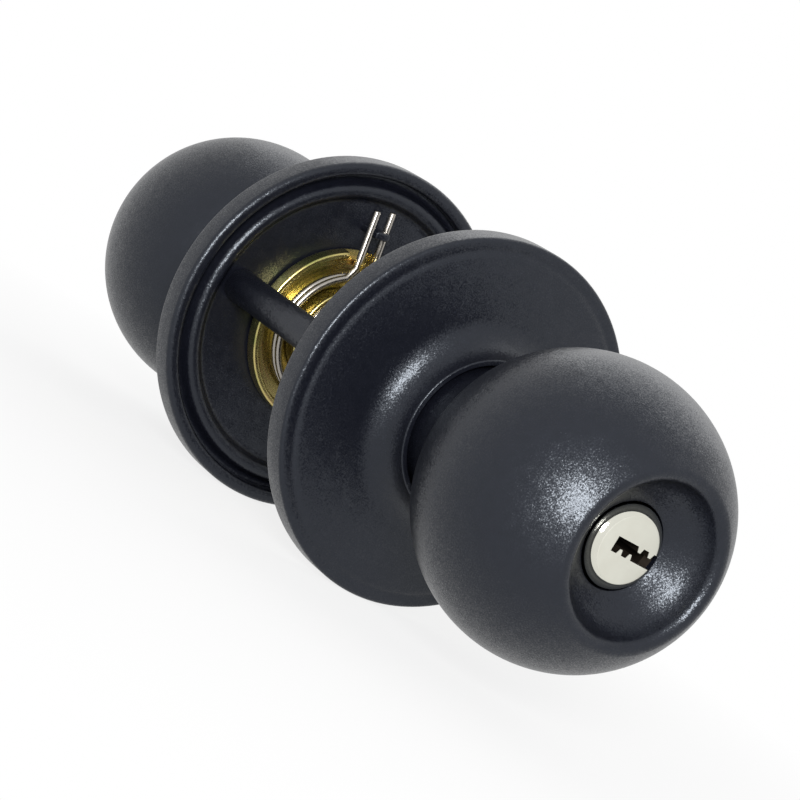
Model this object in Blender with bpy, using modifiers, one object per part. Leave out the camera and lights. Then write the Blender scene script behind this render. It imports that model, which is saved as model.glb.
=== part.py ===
"""Keyed door knob lockset: a ball knob and a round rose on each face of the door.

The spindle axis is world Y, with the key side towards -Y and +Z up, and the origin is the
centre of the door bore. Each half is modelled along its own Z, which runs from the plane
where its rose seats on the door (z = 0) out to its knob, with its own Y up in the world.
"""

import math

import bmesh
import bpy
from mathutils import Matrix, Vector

MM = 0.001
GAP = 0.3 * MM
EDGE_BREAK = 0.3 * MM
OVERCUT = 1.0 * MM

# Door and roses
DOOR_THICKNESS = 38.0 * MM
ROSE_SHEET = 1.0 * MM
ROSE_HEM = 2.4 * MM
ROSE_HEM_CORNER = 0.95 * MM
ROSE_FACE_HEIGHT = 5.4 * MM
ROSE_FACE_RISE = 0.9 * MM
ROSE_FLARE_RADIUS = 5.5 * MM
ROSE_CORNER_RADIUS = 1.0 * MM
ROSE_GROOVE_DEPTH = 0.15 * MM
ROSE_BEAD_WIDTH = 2.0 * MM
ROSE_LIP = 0.3 * MM

# Mounting plates inside the roses
PLATE_SHEET = 1.2 * MM
PLATE_FLOOR = 2.6 * MM
PLATE_EDGE_WIDTH = 2.2 * MM
PLATE_EDGE_GAP = 0.3 * MM
RIDGE_CREST_Z = 0.4 * MM
RIDGE_HALF_CREST = 0.6 * MM
RIDGE_HALF_FOOT = 1.8 * MM

# Knobs
KNOB_RADIUS = 25.0 * MM
KNOB_CENTRE = 40.5 * MM
KNOB_WALL = 1.2 * MM
NECK_RADIUS = 12.5 * MM
NECK_CLEARANCE = 0.7 * MM
NECK_FOOT = 9.2 * MM
DISH_RADIUS = 14.8 * MM
DISH_DEPTH = 6.6 * MM
DISH_CURVE = 1.3
DISH_RIM_ROUNDING = 0.3 * MM
NECK_FILLET = 1.1 * MM
DISH_HOLE_CLEARANCE = 0.35 * MM

# Shanks, spindle and their rings
SHANK_RADIUS = 8.2 * MM
SHANK_TOP = 20.0 * MM
RING_THICKNESS = 0.8 * MM
RING_GROOVE_DEPTH = 0.6 * MM
CIRCLIP_WIDTH = 2.1 * MM
CIRCLIP_OPENING = 6.5 * MM
WASHER_WIDTH = 3.6 * MM
SHANK_TAIL = 0.8 * MM
SPINDLE_RADIUS = 4.9 * MM
SPINDLE_FLAT = 3.7 * MM
SPINDLE_BORE = 3.5 * MM
SPINDLE_ENGAGEMENT = 19.0 * MM

# Posts and screws
POST_RADIUS = 3.0 * MM
POST_OUTSIDE_CUP = 2.2 * MM
POST_INSIDE_RIDGE = 0.8 * MM
POST_BORE_DEPTH = 18.0 * MM
RIVET_RADIUS = 1.9 * MM
RIVET_HEAD_RADIUS = 3.0 * MM
RIVET_HEAD_HEIGHT = 0.6 * MM
SCREW_RADIUS = 1.8 * MM
SCREW_HEAD_RADIUS = 3.6 * MM
SCREW_HEAD_HEIGHT = 1.7 * MM
SCREW_IN_POST = 12.0 * MM
SCREW_CLEARANCE = 0.35 * MM
SCREW_HEAD_RIM = 0.25 * MM
RECESS_LENGTH = 3.8 * MM
RECESS_WIDTH = 0.8 * MM
RECESS_DEPTH = 1.1 * MM

# Key cylinder
PLUG_RADIUS = 4.8 * MM
PLUG_FLANGE_OVERHANG = 0.05 * MM
PLUG_FLANGE_HEIGHT = 1.75 * MM
PLUG_CHAMFER = 1.45 * MM
PLUG_STUB_RADIUS = 3.4 * MM
PLUG_STUB_LENGTH = 2.6 * MM
PLUG_CAP_THICKNESS = 1.6 * MM
BARREL_WALL = 1.8 * MM
BARREL_END = 1.85 * MM
CHAMBER_WIDTH = 6.4 * MM
CHAMBER_REACH = 10.8 * MM
CHAMBER_END = 1.65 * MM
PIN_COUNT = 5
PIN_PITCH = 3.5 * MM
PIN_RADIUS = 1.2 * MM
PIN_CLEARANCE = 0.25 * MM
PIN_SET_BACK = 0.1 * MM
FIRST_PIN_DEPTH = 4.0 * MM
KEY_PIN_LENGTHS = [2.7 * MM, 3.6 * MM, 3.0 * MM, 4.0 * MM, 3.3 * MM]
DRIVER_PIN_LENGTH = 2.3 * MM
PIN_SPRING_TURNS = 3
PIN_SPRING_WIRE = 0.16 * MM
KEYWAY_START = -2.8 * MM
KEYWAY_HALF_HEIGHT = 1.25 * MM
KEYWAY_PAST_PINS = 0.25 * MM
WARD_WIDTH = 0.6 * MM
WARD_DEPTH = 0.85 * MM
WARDS_ABOVE = [1.9 * MM, 4.1 * MM]
WARDS_BELOW = [-1.2 * MM, 0.8 * MM]
TAIL_WIDTH = 5.2 * MM
TAIL_THICKNESS = 1.3 * MM
TAIL_SOCKET = 2.2 * MM
HOLDER_WALL = 1.25 * MM
HOLDER_STEP = 1.5 * MM
HOLDER_BELOW_CHAMBER_TOP = 5.0 * MM

# Return spring, its cup on the inside plate, and the hub that works it, from the shank outwards
SPRING_TURN = -13.0
HUB_LAND = 2.2 * MM
COIL_OUTSIDE_HUB = 1.8 * MM
COIL_WIRE = 0.65 * MM
COIL_PITCH = 1.45 * MM
COIL_TURNS = 2
LEG_SPACING = 2.5 * MM
LEG_INSIDE_RIDGE = 0.8 * MM
LEG_BEND = 1.1 * MM
DOG_CLEARANCE = 0.55 * MM
DOG_THICKNESS = 1.2 * MM
CUP_CLEARANCE = 0.6 * MM
CUP_WALL = 1.2 * MM
CUP_BASE = 0.8 * MM
CUP_RIM_Z = -0.6 * MM
TAB_OUTSIDE_CUP = 4.1 * MM
TAB_THICKNESS = 1.4 * MM

# Turn button of the inside knob
BUTTON_STEM_RADIUS = 4.6 * MM
BUTTON_STEM_LENGTH = 27.0 * MM
BUTTON_GRIP_LENGTH = 12.4 * MM
BUTTON_GRIP_WIDTH = 3.4 * MM
BUTTON_GRIP_HEIGHT = 4.4 * MM
BUTTON_GRIP_ROUNDING = 0.8 * MM
BUTTON_TAIL_SOCKET = 6.0 * MM
BUTTON_NUT_WIDTH = 1.5 * MM
SLEEVE_STEP = 1.2 * MM
SLEEVE_BELOW_DISH = 3.0 * MM

ROUND_STEPS = 28
SMALL_STEPS = 18
POST_STEPS = 14
PIN_STEPS = 10
PIN_SPRING_STEPS = 5
COIL_STEPS = 13
MERGE = 0.01 * MM

# Sizes that follow from the ones above
HUB_RADIUS = SHANK_RADIUS + HUB_LAND
COIL_RADIUS = HUB_RADIUS + COIL_OUTSIDE_HUB
DOG_INNER = COIL_RADIUS + COIL_WIRE + DOG_CLEARANCE
DOG_OUTER = DOG_INNER + DOG_THICKNESS
CUP_RADIUS = DOG_OUTER + CUP_CLEARANCE + CUP_WALL
TAB_RADIUS = CUP_RADIUS + TAB_OUTSIDE_CUP
POST_OFFSET = CUP_RADIUS + POST_OUTSIDE_CUP + POST_RADIUS
RIDGE_CREST_RADIUS = POST_OFFSET + POST_RADIUS + POST_INSIDE_RIDGE + RIDGE_HALF_FOOT
LEG_TIP = RIDGE_CREST_RADIUS - RIDGE_HALF_FOOT - LEG_INSIDE_RIDGE
PLATE_RADIUS = RIDGE_CREST_RADIUS + RIDGE_HALF_FOOT + PLATE_EDGE_WIDTH
ROSE_RADIUS = PLATE_RADIUS + PLATE_EDGE_GAP + ROSE_SHEET
PLATE_BACK = PLATE_FLOOR + PLATE_SHEET
PLATE_EDGE_FLOOR = PLATE_BACK - 0.8 * PLATE_SHEET
PLATE_HOLE = SHANK_RADIUS + 1.3 * GAP
LIP_RADIUS = NECK_RADIUS + NECK_CLEARANCE
LIP_TOP = ROSE_FACE_HEIGHT + ROSE_FACE_RISE + ROSE_FLARE_RADIUS + ROSE_LIP
FLARE_CENTRE_RADIUS = LIP_RADIUS + ROSE_SHEET + ROSE_FLARE_RADIUS
FLARE_CENTRE_Z = LIP_TOP - ROSE_LIP
RIM_INNER_RADIUS = ROSE_RADIUS - ROSE_SHEET
HEM_INNER_RADIUS = ROSE_RADIUS - ROSE_HEM
HEM_TOP = PLATE_EDGE_FLOOR - GAP
BEAD_INNER_RADIUS = RIM_INNER_RADIUS - ROSE_BEAD_WIDTH
BARREL_BORE = PLUG_RADIUS + GAP
BARREL_RADIUS = BARREL_BORE + BARREL_WALL
PLUG_FLANGE_RADIUS = BARREL_RADIUS + PLUG_FLANGE_OVERHANG
DISH_HOLE = PLUG_FLANGE_RADIUS + DISH_HOLE_CLEARANCE
DISH_RIM_Z = KNOB_CENTRE + math.sqrt(KNOB_RADIUS**2 - DISH_RADIUS**2)
DISH_FLOOR_Z = DISH_RIM_Z - DISH_DEPTH
DISH_BACK_Z = DISH_FLOOR_Z - KNOB_WALL
DISH_SLOPE_WALL = 1.35 * KNOB_WALL
SHANK_SHOULDER_RADIUS = NECK_RADIUS - KNOB_WALL - GAP
BARREL_TOP = DISH_FLOOR_Z - 1.5 * GAP
CHAMBER_TOP = DISH_BACK_Z - 2.5 * GAP
PIN_BORE = PIN_RADIUS + PIN_CLEARANCE
LAST_PIN_Z = BARREL_TOP - FIRST_PIN_DEPTH - (PIN_COUNT - 1) * PIN_PITCH
BARREL_FOOT = LAST_PIN_Z - PIN_BORE - BARREL_END
CHAMBER_FOOT = LAST_PIN_Z - PIN_BORE - CHAMBER_END
KEYWAY_FOOT = LAST_PIN_Z - KEYWAY_PAST_PINS
FLANGE_BACK = BARREL_TOP + GAP
PLUG_TOP = FLANGE_BACK + PLUG_FLANGE_HEIGHT
PLUG_FOOT = BARREL_FOOT
PLUG_STUB_FOOT = PLUG_FOOT - PLUG_STUB_LENGTH
BUTTON_FOOT = FLANGE_BACK - BUTTON_STEM_LENGTH
HOLDER_INNER = BARREL_RADIUS + GAP
HOLDER_FOOT = SHANK_TOP + GAP
TAIL_SLOT_WIDTH = TAIL_WIDTH + 2 * GAP
TAIL_SLOT_THICKNESS = TAIL_THICKNESS + 2 * GAP
CUP_FLOOR_Z = PLATE_FLOOR - GAP - CUP_BASE
COIL_START_Z = CUP_FLOOR_Z - GAP - COIL_WIRE
DOG_HALF_WIDTH = LEG_SPACING - COIL_WIRE - 1.3 * GAP
POST_LENGTH = DOOR_THICKNESS + 2 * (PLATE_FLOOR - GAP)
SHEAR_LINE = PLUG_RADIUS - PIN_SET_BACK


def start_empty_scene():
    """Removes what is in the file, and makes the two collections."""
    for old in list(bpy.data.objects):
        bpy.data.objects.remove(old, do_unlink=True)
    for name in ("door_knob_lockset", "cutters"):
        collection = bpy.data.collections.new(name)
        bpy.context.scene.collection.children.link(collection)


def finish(name, colour, roughness, metallic):
    """A plain material with the piece's colour."""
    material = bpy.data.materials.new(name)
    material.use_nodes = True
    shader = material.node_tree.nodes["Principled BSDF"]
    shader.inputs["Base Color"].default_value = (*colour, 1.0)
    shader.inputs["Roughness"].default_value = roughness
    shader.inputs["Metallic"].default_value = metallic
    return material


def half_frame(name, seat_y, rotation):
    """An empty on the spindle axis, at the plane where one rose seats on the door."""
    frame = bpy.data.objects.new(name, None)
    frame.location = (0.0, seat_y, 0.0)
    frame.rotation_euler = rotation
    bpy.data.collections["door_knob_lockset"].objects.link(frame)
    return frame


def add_piece(name, data, half, material):
    """An object of the lockset, placed in its half's frame."""
    piece = bpy.data.objects.new(name, data)
    bpy.data.collections["door_knob_lockset"].objects.link(piece)
    piece.parent = half
    piece.data.materials.append(material)
    return piece


def add_cutter(name, mesh, half):
    """A shape that only cuts or joins another, and isn't part of the lockset."""
    cutter = bpy.data.objects.new(name, mesh)
    bpy.data.collections["cutters"].objects.link(cutter)
    cutter.parent = half
    cutter.hide_render = True
    cutter.display_type = "WIRE"
    return cutter


def combine(piece, tool, operation):
    """Cuts the tool's shape out of the piece, or joins it on."""
    boolean = piece.modifiers.new(operation.lower() + "_" + tool.name, "BOOLEAN")
    boolean.operation = operation
    boolean.object = tool
    boolean.solver = "EXACT"


def cylinder_mesh(name, radius, low, high, steps, top_radius=None, place=None):
    """A cylinder or cone along Z from low to high, moved by the matrix place."""
    mesh = bpy.data.meshes.new(name)
    form = bmesh.new()
    bmesh.ops.create_cone(
        form,
        cap_ends=True,
        segments=steps,
        radius1=radius,
        radius2=radius if top_radius is None else top_radius,
        depth=high - low,
        matrix=(place or Matrix()) @ Matrix.Translation((0.0, 0.0, (low + high) / 2)),
    )
    form.to_mesh(mesh)
    form.free()
    return mesh


def box_mesh(name, low, high):
    """A box between two corners."""
    low, high = Vector(low), Vector(high)
    mesh = bpy.data.meshes.new(name)
    form = bmesh.new()
    scale = Matrix.Diagonal((*(high - low), 1.0))
    bmesh.ops.create_cube(form, size=1.0, matrix=Matrix.Translation((low + high) / 2) @ scale)
    form.to_mesh(mesh)
    form.free()
    return mesh


def spindle_mesh(name, radius, flat, low, high):
    """A round bar with one flat on its lower side, along Z."""
    mesh = cylinder_mesh(name, radius, low, high, SMALL_STEPS)
    for vertex in mesh.vertices:
        vertex.co.y = max(vertex.co.y, -flat)
    return mesh


def profile_mesh(name, points, closed):
    """The outline of a turned piece, as (radius, z) points that run down its outer side."""
    mesh = bpy.data.meshes.new(name)
    form = bmesh.new()
    corners = [form.verts.new((radius, 0.0, z)) for radius, z in points]
    for first, second in zip(corners, corners[1:]):
        form.edges.new((first, second))
    if closed:
        form.edges.new((corners[-1], corners[0]))
    form.to_mesh(mesh)
    form.free()
    return mesh


def turn(piece, steps):
    """Spins the piece's profile a full turn about its own Z."""
    screw = piece.modifiers.new("turned", "SCREW")
    screw.axis = "Z"
    screw.steps = steps
    screw.render_steps = steps
    screw.use_merge_vertices = True
    screw.merge_threshold = MERGE


def turned_piece(name, points, half, material, steps, closed=True):
    """A turned piece: a ring if its profile is closed, a solid one if it ends on the axis."""
    piece = add_piece(name, profile_mesh(name, points, closed), half, material)
    turn(piece, steps)
    return piece


def arc(centre_radius, centre_z, radius, start_degrees, end_degrees, pieces):
    """Points on an arc in a profile, where 90 degrees is up and 0 is outwards."""
    points = []
    for index in range(pieces + 1):
        angle = math.radians(start_degrees + (end_degrees - start_degrees) * index / pieces)
        points.append((centre_radius + radius * math.cos(angle), centre_z + radius * math.sin(angle)))
    return points


def ring_points(inner, outer, low, high):
    """A plain square-edged ring."""
    return [(inner, high), (outer, high), (outer, low), (inner, low)]


def dish_height(radius):
    """Height of the hollow in the knob's front at this distance from the axis."""
    share = (radius - DISH_HOLE) / (DISH_RADIUS - DISH_HOLE)
    return DISH_FLOOR_Z + DISH_DEPTH * share**DISH_CURVE


def knob_points():
    """A ball with a hollow front and a straight neck, of one even wall."""
    top_angle = math.degrees(math.acos(DISH_RADIUS / KNOB_RADIUS))
    neck_angle = -math.degrees(math.acos(NECK_RADIUS / KNOB_RADIUS))
    inner_ball = KNOB_RADIUS - KNOB_WALL
    inner_neck = NECK_RADIUS - KNOB_WALL
    inner_foot_angle = -math.degrees(math.acos(inner_neck / inner_ball))
    dish_steps = [DISH_HOLE + (DISH_RADIUS - DISH_HOLE) * share for share in (0, 0.3, 0.6, 0.85)]
    points = [(radius, dish_height(radius)) for radius in dish_steps]
    points.append((DISH_RADIUS - DISH_RIM_ROUNDING, DISH_RIM_Z))
    points += arc(0.0, KNOB_CENTRE, KNOB_RADIUS, top_angle - 1.5, neck_angle + 2.5, 12)
    points.append((NECK_RADIUS + 0.2 * NECK_FILLET, points[-1][1] - NECK_FILLET))
    points.append((NECK_RADIUS, points[-1][1] - NECK_FILLET))
    points.append((NECK_RADIUS, NECK_FOOT))
    points.append((inner_neck, NECK_FOOT))
    points += arc(0.0, KNOB_CENTRE, inner_ball, inner_foot_angle, top_angle - 3.0, 4)
    points.append((dish_steps[2], dish_height(dish_steps[2]) - DISH_SLOPE_WALL))
    points.append((dish_steps[0], DISH_BACK_Z))
    return points


def rose_points():
    """A drawn cover: rolled hem, fine groove and bead, flat face and a flared neck."""
    corner_z = ROSE_FACE_HEIGHT - ROSE_CORNER_RADIUS
    rim_corner = ROSE_RADIUS - ROSE_CORNER_RADIUS
    groove_radius = BEAD_INNER_RADIUS + 0.4 * ROSE_BEAD_WIDTH
    points = [(LIP_RADIUS, LIP_TOP), (LIP_RADIUS + 0.8 * ROSE_SHEET, LIP_TOP)]
    points += arc(FLARE_CENTRE_RADIUS, FLARE_CENTRE_Z, ROSE_FLARE_RADIUS, 180, 270, 5)
    points.append((BEAD_INNER_RADIUS, ROSE_FACE_HEIGHT + 0.2 * ROSE_FACE_RISE))
    points.append((groove_radius, ROSE_FACE_HEIGHT - ROSE_GROOVE_DEPTH))
    points += arc(rim_corner, corner_z, ROSE_CORNER_RADIUS, 90, 0, 3)
    points += arc(ROSE_RADIUS - ROSE_HEM_CORNER, ROSE_HEM_CORNER, ROSE_HEM_CORNER, 0, -90, 2)
    points += arc(HEM_INNER_RADIUS + ROSE_HEM_CORNER, ROSE_HEM_CORNER, ROSE_HEM_CORNER, -90, -180, 2)
    points.append((HEM_INNER_RADIUS, HEM_TOP))
    points.append((RIM_INNER_RADIUS, HEM_TOP))
    points.append((RIM_INNER_RADIUS, ROSE_FACE_HEIGHT - 1.25 * ROSE_SHEET))
    points.append((groove_radius, ROSE_FACE_HEIGHT - ROSE_GROOVE_DEPTH - ROSE_SHEET))
    points.append((BEAD_INNER_RADIUS, ROSE_FACE_HEIGHT + 0.2 * ROSE_FACE_RISE - ROSE_SHEET))
    points += arc(FLARE_CENTRE_RADIUS, FLARE_CENTRE_Z, ROSE_FLARE_RADIUS + ROSE_SHEET, 270, 180, 3)
    return points


def plate_points():
    """A pressed plate: flat floor, and a rounded ridge near its edge."""
    crest, foot = RIDGE_HALF_CREST, RIDGE_HALF_FOOT
    back_z = RIDGE_CREST_Z + PLATE_SHEET
    return [
        (PLATE_HOLE, PLATE_BACK),
        (RIDGE_CREST_RADIUS - foot - 0.6 * PLATE_SHEET, PLATE_BACK),
        (RIDGE_CREST_RADIUS - crest, back_z),
        (RIDGE_CREST_RADIUS + crest, back_z),
        (RIDGE_CREST_RADIUS + foot - 0.6 * PLATE_SHEET, PLATE_BACK),
        (PLATE_RADIUS, PLATE_BACK),
        (PLATE_RADIUS, PLATE_EDGE_FLOOR),
        (RIDGE_CREST_RADIUS + foot, PLATE_EDGE_FLOOR),
        (RIDGE_CREST_RADIUS + 0.75 * foot, RIDGE_CREST_Z + 0.5 * PLATE_SHEET),
        (RIDGE_CREST_RADIUS + crest, RIDGE_CREST_Z),
        (RIDGE_CREST_RADIUS - crest, RIDGE_CREST_Z),
        (RIDGE_CREST_RADIUS - 0.75 * foot, RIDGE_CREST_Z + 0.5 * PLATE_SHEET),
        (RIDGE_CREST_RADIUS - foot, PLATE_FLOOR),
        (PLATE_HOLE, PLATE_FLOOR),
    ]


def shank_foot(ring_top):
    """The end of the shank's tail, past the groove for its ring."""
    return ring_top - RING_THICKNESS - 0.5 * GAP - SHANK_TAIL


def shank_points(ring_top):
    """The neck's core: a shoulder in the knob's neck, then a tail with a ring groove."""
    groove = SHANK_RADIUS - RING_GROOVE_DEPTH
    groove_top = ring_top + 0.5 * GAP
    foot = shank_foot(ring_top)
    groove_foot = foot + SHANK_TAIL
    return [
        (0.0, SHANK_TOP),
        (SHANK_SHOULDER_RADIUS, SHANK_TOP),
        (SHANK_SHOULDER_RADIUS, PLATE_BACK + GAP),
        (SHANK_RADIUS, PLATE_BACK + GAP),
        (SHANK_RADIUS, groove_top),
        (groove, groove_top),
        (groove, groove_foot),
        (SHANK_RADIUS, groove_foot),
        (SHANK_RADIUS, foot + EDGE_BREAK),
        (SHANK_RADIUS - EDGE_BREAK, foot),
        (0.0, foot),
    ]


def add_shank(side, half, ring_top, material):
    """A shank with its D-shaped bore for the spindle."""
    shank = turned_piece(side + "_shank", shank_points(ring_top), half, material, SMALL_STEPS, False)
    low, high = shank_foot(ring_top) - OVERCUT, SHANK_TOP + OVERCUT
    bore = spindle_mesh(side + "_shank_bore", SPINDLE_RADIUS + GAP, SPINDLE_FLAT + GAP, low, high)
    combine(shank, add_cutter(side + "_shank_bore", bore, half), "DIFFERENCE")


def add_circlip(side, half, ring_top, material):
    """An open ring that snaps into the shank's groove."""
    inner = SHANK_RADIUS - RING_GROOVE_DEPTH + GAP
    points = ring_points(inner, inner + CIRCLIP_WIDTH, ring_top - RING_THICKNESS, ring_top)
    circlip = turned_piece(side + "_circlip", points, half, material, SMALL_STEPS)
    half_opening = CIRCLIP_OPENING / 2
    mouth = box_mesh(
        side + "_circlip_mouth",
        (-half_opening, -2 * SHANK_RADIUS, ring_top - 2 * RING_THICKNESS),
        (half_opening, 0.0, ring_top + RING_THICKNESS),
    )
    combine(circlip, add_cutter(side + "_circlip_mouth", mouth, half), "DIFFERENCE")


def add_rose_and_plate(side, half, material):
    """The rose, and the plate behind it."""
    rose = turned_piece(side + "_rose", rose_points(), half, material, ROUND_STEPS)
    plate = turned_piece(side + "_plate", plate_points(), half, material, ROUND_STEPS)
    return rose, plate


def hole(piece, name, radius, x, low, high, half, top_radius=None):
    """A round hole through a piece, along the half's Z."""
    place = Matrix.Translation((x, 0.0, 0.0))
    mesh = cylinder_mesh(name, radius, low, high, POST_STEPS, top_radius, place)
    combine(piece, add_cutter(name, mesh, half), "DIFFERENCE")


def post_points():
    """A post, and the rivet tail that fixes it to its plate."""
    head_foot = PLATE_BACK + GAP
    foot = PLATE_FLOOR - GAP - POST_LENGTH
    bore = SCREW_RADIUS + SCREW_CLEARANCE
    return [
        (0.0, head_foot + RIVET_HEAD_HEIGHT),
        (0.7 * RIVET_HEAD_RADIUS, head_foot + RIVET_HEAD_HEIGHT),
        (RIVET_HEAD_RADIUS, head_foot),
        (RIVET_RADIUS, head_foot),
        (RIVET_RADIUS, PLATE_FLOOR - GAP),
        (POST_RADIUS, PLATE_FLOOR - GAP),
        (POST_RADIUS, foot + EDGE_BREAK),
        (POST_RADIUS - EDGE_BREAK, foot),
        (bore, foot),
        (bore, foot + POST_BORE_DEPTH),
        (0.0, foot + POST_BORE_DEPTH + bore * 0.6),
    ]


def add_post(side, x, half, plate, material):
    """One post on the outside plate, which the inside screw draws up."""
    post = turned_piece("post_" + side, post_points(), half, material, POST_STEPS, False)
    post.location.x = x
    name = "post_hole_" + side
    hole(plate, name, RIVET_RADIUS + GAP, x, PLATE_FLOOR - OVERCUT, PLATE_BACK + OVERCUT, half)


def screw_points(face_z):
    """A countersunk screw, from its head down to its tip."""
    head_foot = face_z - SCREW_HEAD_HEIGHT
    tip = PLATE_FLOOR - GAP - SCREW_IN_POST
    return [
        (0.0, face_z),
        (SCREW_HEAD_RADIUS, face_z),
        (SCREW_HEAD_RADIUS, face_z - SCREW_HEAD_RIM),
        (SCREW_RADIUS, head_foot),
        (SCREW_RADIUS, tip + SCREW_RADIUS),
        (0.5 * SCREW_RADIUS, tip),
        (0.0, tip),
    ]


def add_screw(side, x, half, rose, plate, material):
    """One screw through the inside rose and plate into a post, with a cross recess."""
    face_share = (POST_OFFSET - FLARE_CENTRE_RADIUS) / (BEAD_INNER_RADIUS - FLARE_CENTRE_RADIUS)
    face_z = ROSE_FACE_HEIGHT + ROSE_FACE_RISE * (1 - 0.8 * face_share)
    screw = turned_piece("screw_" + side, screw_points(face_z), half, material, POST_STEPS, False)
    screw.location.x = x
    low = Vector((-RECESS_LENGTH / 2, -RECESS_WIDTH / 2, -RECESS_DEPTH))
    high = Vector((RECESS_LENGTH / 2, RECESS_WIDTH / 2, OVERCUT))
    for index, turn_degrees in enumerate((0, 90)):
        name = "recess_%s_%d" % (side, index)
        slot = box_mesh(name, low, high)
        recess = add_cutter(name, slot, half)
        recess.location = (x, 0.0, face_z)
        recess.rotation_euler = (0.0, 0.0, math.radians(turn_degrees))
        combine(screw, recess, "DIFFERENCE")
    seat_foot = face_z - SCREW_HEAD_HEIGHT - GAP
    clear = SCREW_RADIUS + GAP
    hole(rose, "screw_hole_" + side, clear, x, PLATE_BACK, LIP_TOP, half)
    rise = (SCREW_HEAD_RADIUS - SCREW_RADIUS) / SCREW_HEAD_HEIGHT
    seat_top = face_z + OVERCUT
    wide = clear + (seat_top - seat_foot) * rise
    hole(rose, "screw_seat_" + side, clear, x, seat_foot, seat_top, half, wide)
    hole(plate, "plate_screw_hole_" + side, clear, x, PLATE_FLOOR - OVERCUT, PLATE_BACK + OVERCUT, half)


def add_holder(name, inner, step_inner, step_z, top, half, material):
    """A tube that stands on the shank inside the knob and carries the lock work."""
    outer = inner + HOLDER_WALL
    points = [
        (inner, top),
        (outer, top),
        (outer, HOLDER_FOOT),
        (inner, HOLDER_FOOT),
        (inner, step_z - HOLDER_STEP),
        (step_inner, step_z - HOLDER_STEP),
        (step_inner, step_z),
        (inner, step_z),
    ]
    return turned_piece(name, points, half, material, SMALL_STEPS)


def pin_depths():
    """Where each pin stack stands along the cylinder."""
    return [BARREL_TOP - FIRST_PIN_DEPTH - index * PIN_PITCH for index in range(PIN_COUNT)]


def across(depth):
    """Turns a shape that runs along Z so that it runs out along -X, at this depth."""
    return Matrix.Translation((0.0, 0.0, depth)) @ Matrix.Rotation(-math.pi / 2, 4, "Y")


def add_barrel(half, material):
    """The cylinder's housing, with a bore for the plug and a row of pin chambers."""
    points = ring_points(BARREL_BORE, BARREL_RADIUS, BARREL_FOOT, BARREL_TOP)
    barrel = turned_piece("cylinder_barrel", points, half, material, SMALL_STEPS)
    low = (-CHAMBER_REACH, -CHAMBER_WIDTH / 2, CHAMBER_FOOT)
    high = (-(BARREL_BORE + BARREL_RADIUS) / 2, CHAMBER_WIDTH / 2, CHAMBER_TOP)
    combine(barrel, add_cutter("chamber_block", box_mesh("chamber_block", low, high), half), "UNION")
    for index, depth in enumerate(pin_depths(), 1):
        name = "chamber_bore_%d" % index
        low, high = 0.7 * BARREL_BORE, CHAMBER_REACH + OVERCUT
        bore = cylinder_mesh(name, PIN_BORE, low, high, PIN_STEPS, None, across(depth))
        combine(barrel, add_cutter(name, bore, half), "DIFFERENCE")
    cap_low = (-CHAMBER_REACH - GAP - RING_THICKNESS, -CHAMBER_WIDTH / 2, CHAMBER_FOOT)
    cap_high = (-CHAMBER_REACH - GAP, CHAMBER_WIDTH / 2, CHAMBER_TOP)
    add_piece("chamber_cap", box_mesh("chamber_cap", cap_low, cap_high), half, material)


def plug_points():
    """The plug: a polished front flange, the keyed body and a threaded stub."""
    return [
        (0.0, PLUG_TOP),
        (PLUG_FLANGE_RADIUS - PLUG_CHAMFER, PLUG_TOP),
        (PLUG_FLANGE_RADIUS - 0.3 * PLUG_CHAMFER, PLUG_TOP - 0.3 * PLUG_CHAMFER),
        (PLUG_FLANGE_RADIUS, PLUG_TOP - PLUG_CHAMFER),
        (PLUG_FLANGE_RADIUS, FLANGE_BACK),
        (PLUG_RADIUS, FLANGE_BACK),
        (PLUG_RADIUS, PLUG_FOOT),
        (PLUG_STUB_RADIUS, PLUG_FOOT),
        (PLUG_STUB_RADIUS, PLUG_STUB_FOOT),
        (0.0, PLUG_STUB_FOOT),
    ]


def keyway_cutter(half):
    """The warded slot that the key enters, open at the plug's edge."""
    low = (KEYWAY_START, -KEYWAY_HALF_HEIGHT, KEYWAY_FOOT)
    high = (PLUG_FLANGE_RADIUS + OVERCUT, KEYWAY_HALF_HEIGHT, PLUG_TOP + OVERCUT)
    keyway = add_cutter("keyway", box_mesh("keyway", low, high), half)
    rows = [("above", WARDS_ABOVE, 1), ("below", WARDS_BELOW, -1)]
    for row, places, sign in rows:
        for index, x in enumerate(places):
            name = "ward_%s_%d" % (row, index)
            inner = sign * (KEYWAY_HALF_HEIGHT - WARD_DEPTH)
            outer = sign * (KEYWAY_HALF_HEIGHT + OVERCUT)
            ward = box_mesh(
                name,
                (x - WARD_WIDTH / 2, min(inner, outer), KEYWAY_FOOT - OVERCUT),
                (x + WARD_WIDTH / 2, max(inner, outer), PLUG_TOP + 2 * OVERCUT),
            )
            combine(keyway, add_cutter(name, ward, half), "DIFFERENCE")
    return keyway


def tail_slot(name, low, high, half):
    """The flat socket that takes the tail bar."""
    corner = Vector((TAIL_SLOT_WIDTH / 2, TAIL_SLOT_THICKNESS / 2, 0.0))
    slot = box_mesh(name, Vector((0.0, 0.0, low)) - corner, Vector((0.0, 0.0, high)) + corner)
    return add_cutter(name, slot, half)


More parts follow.
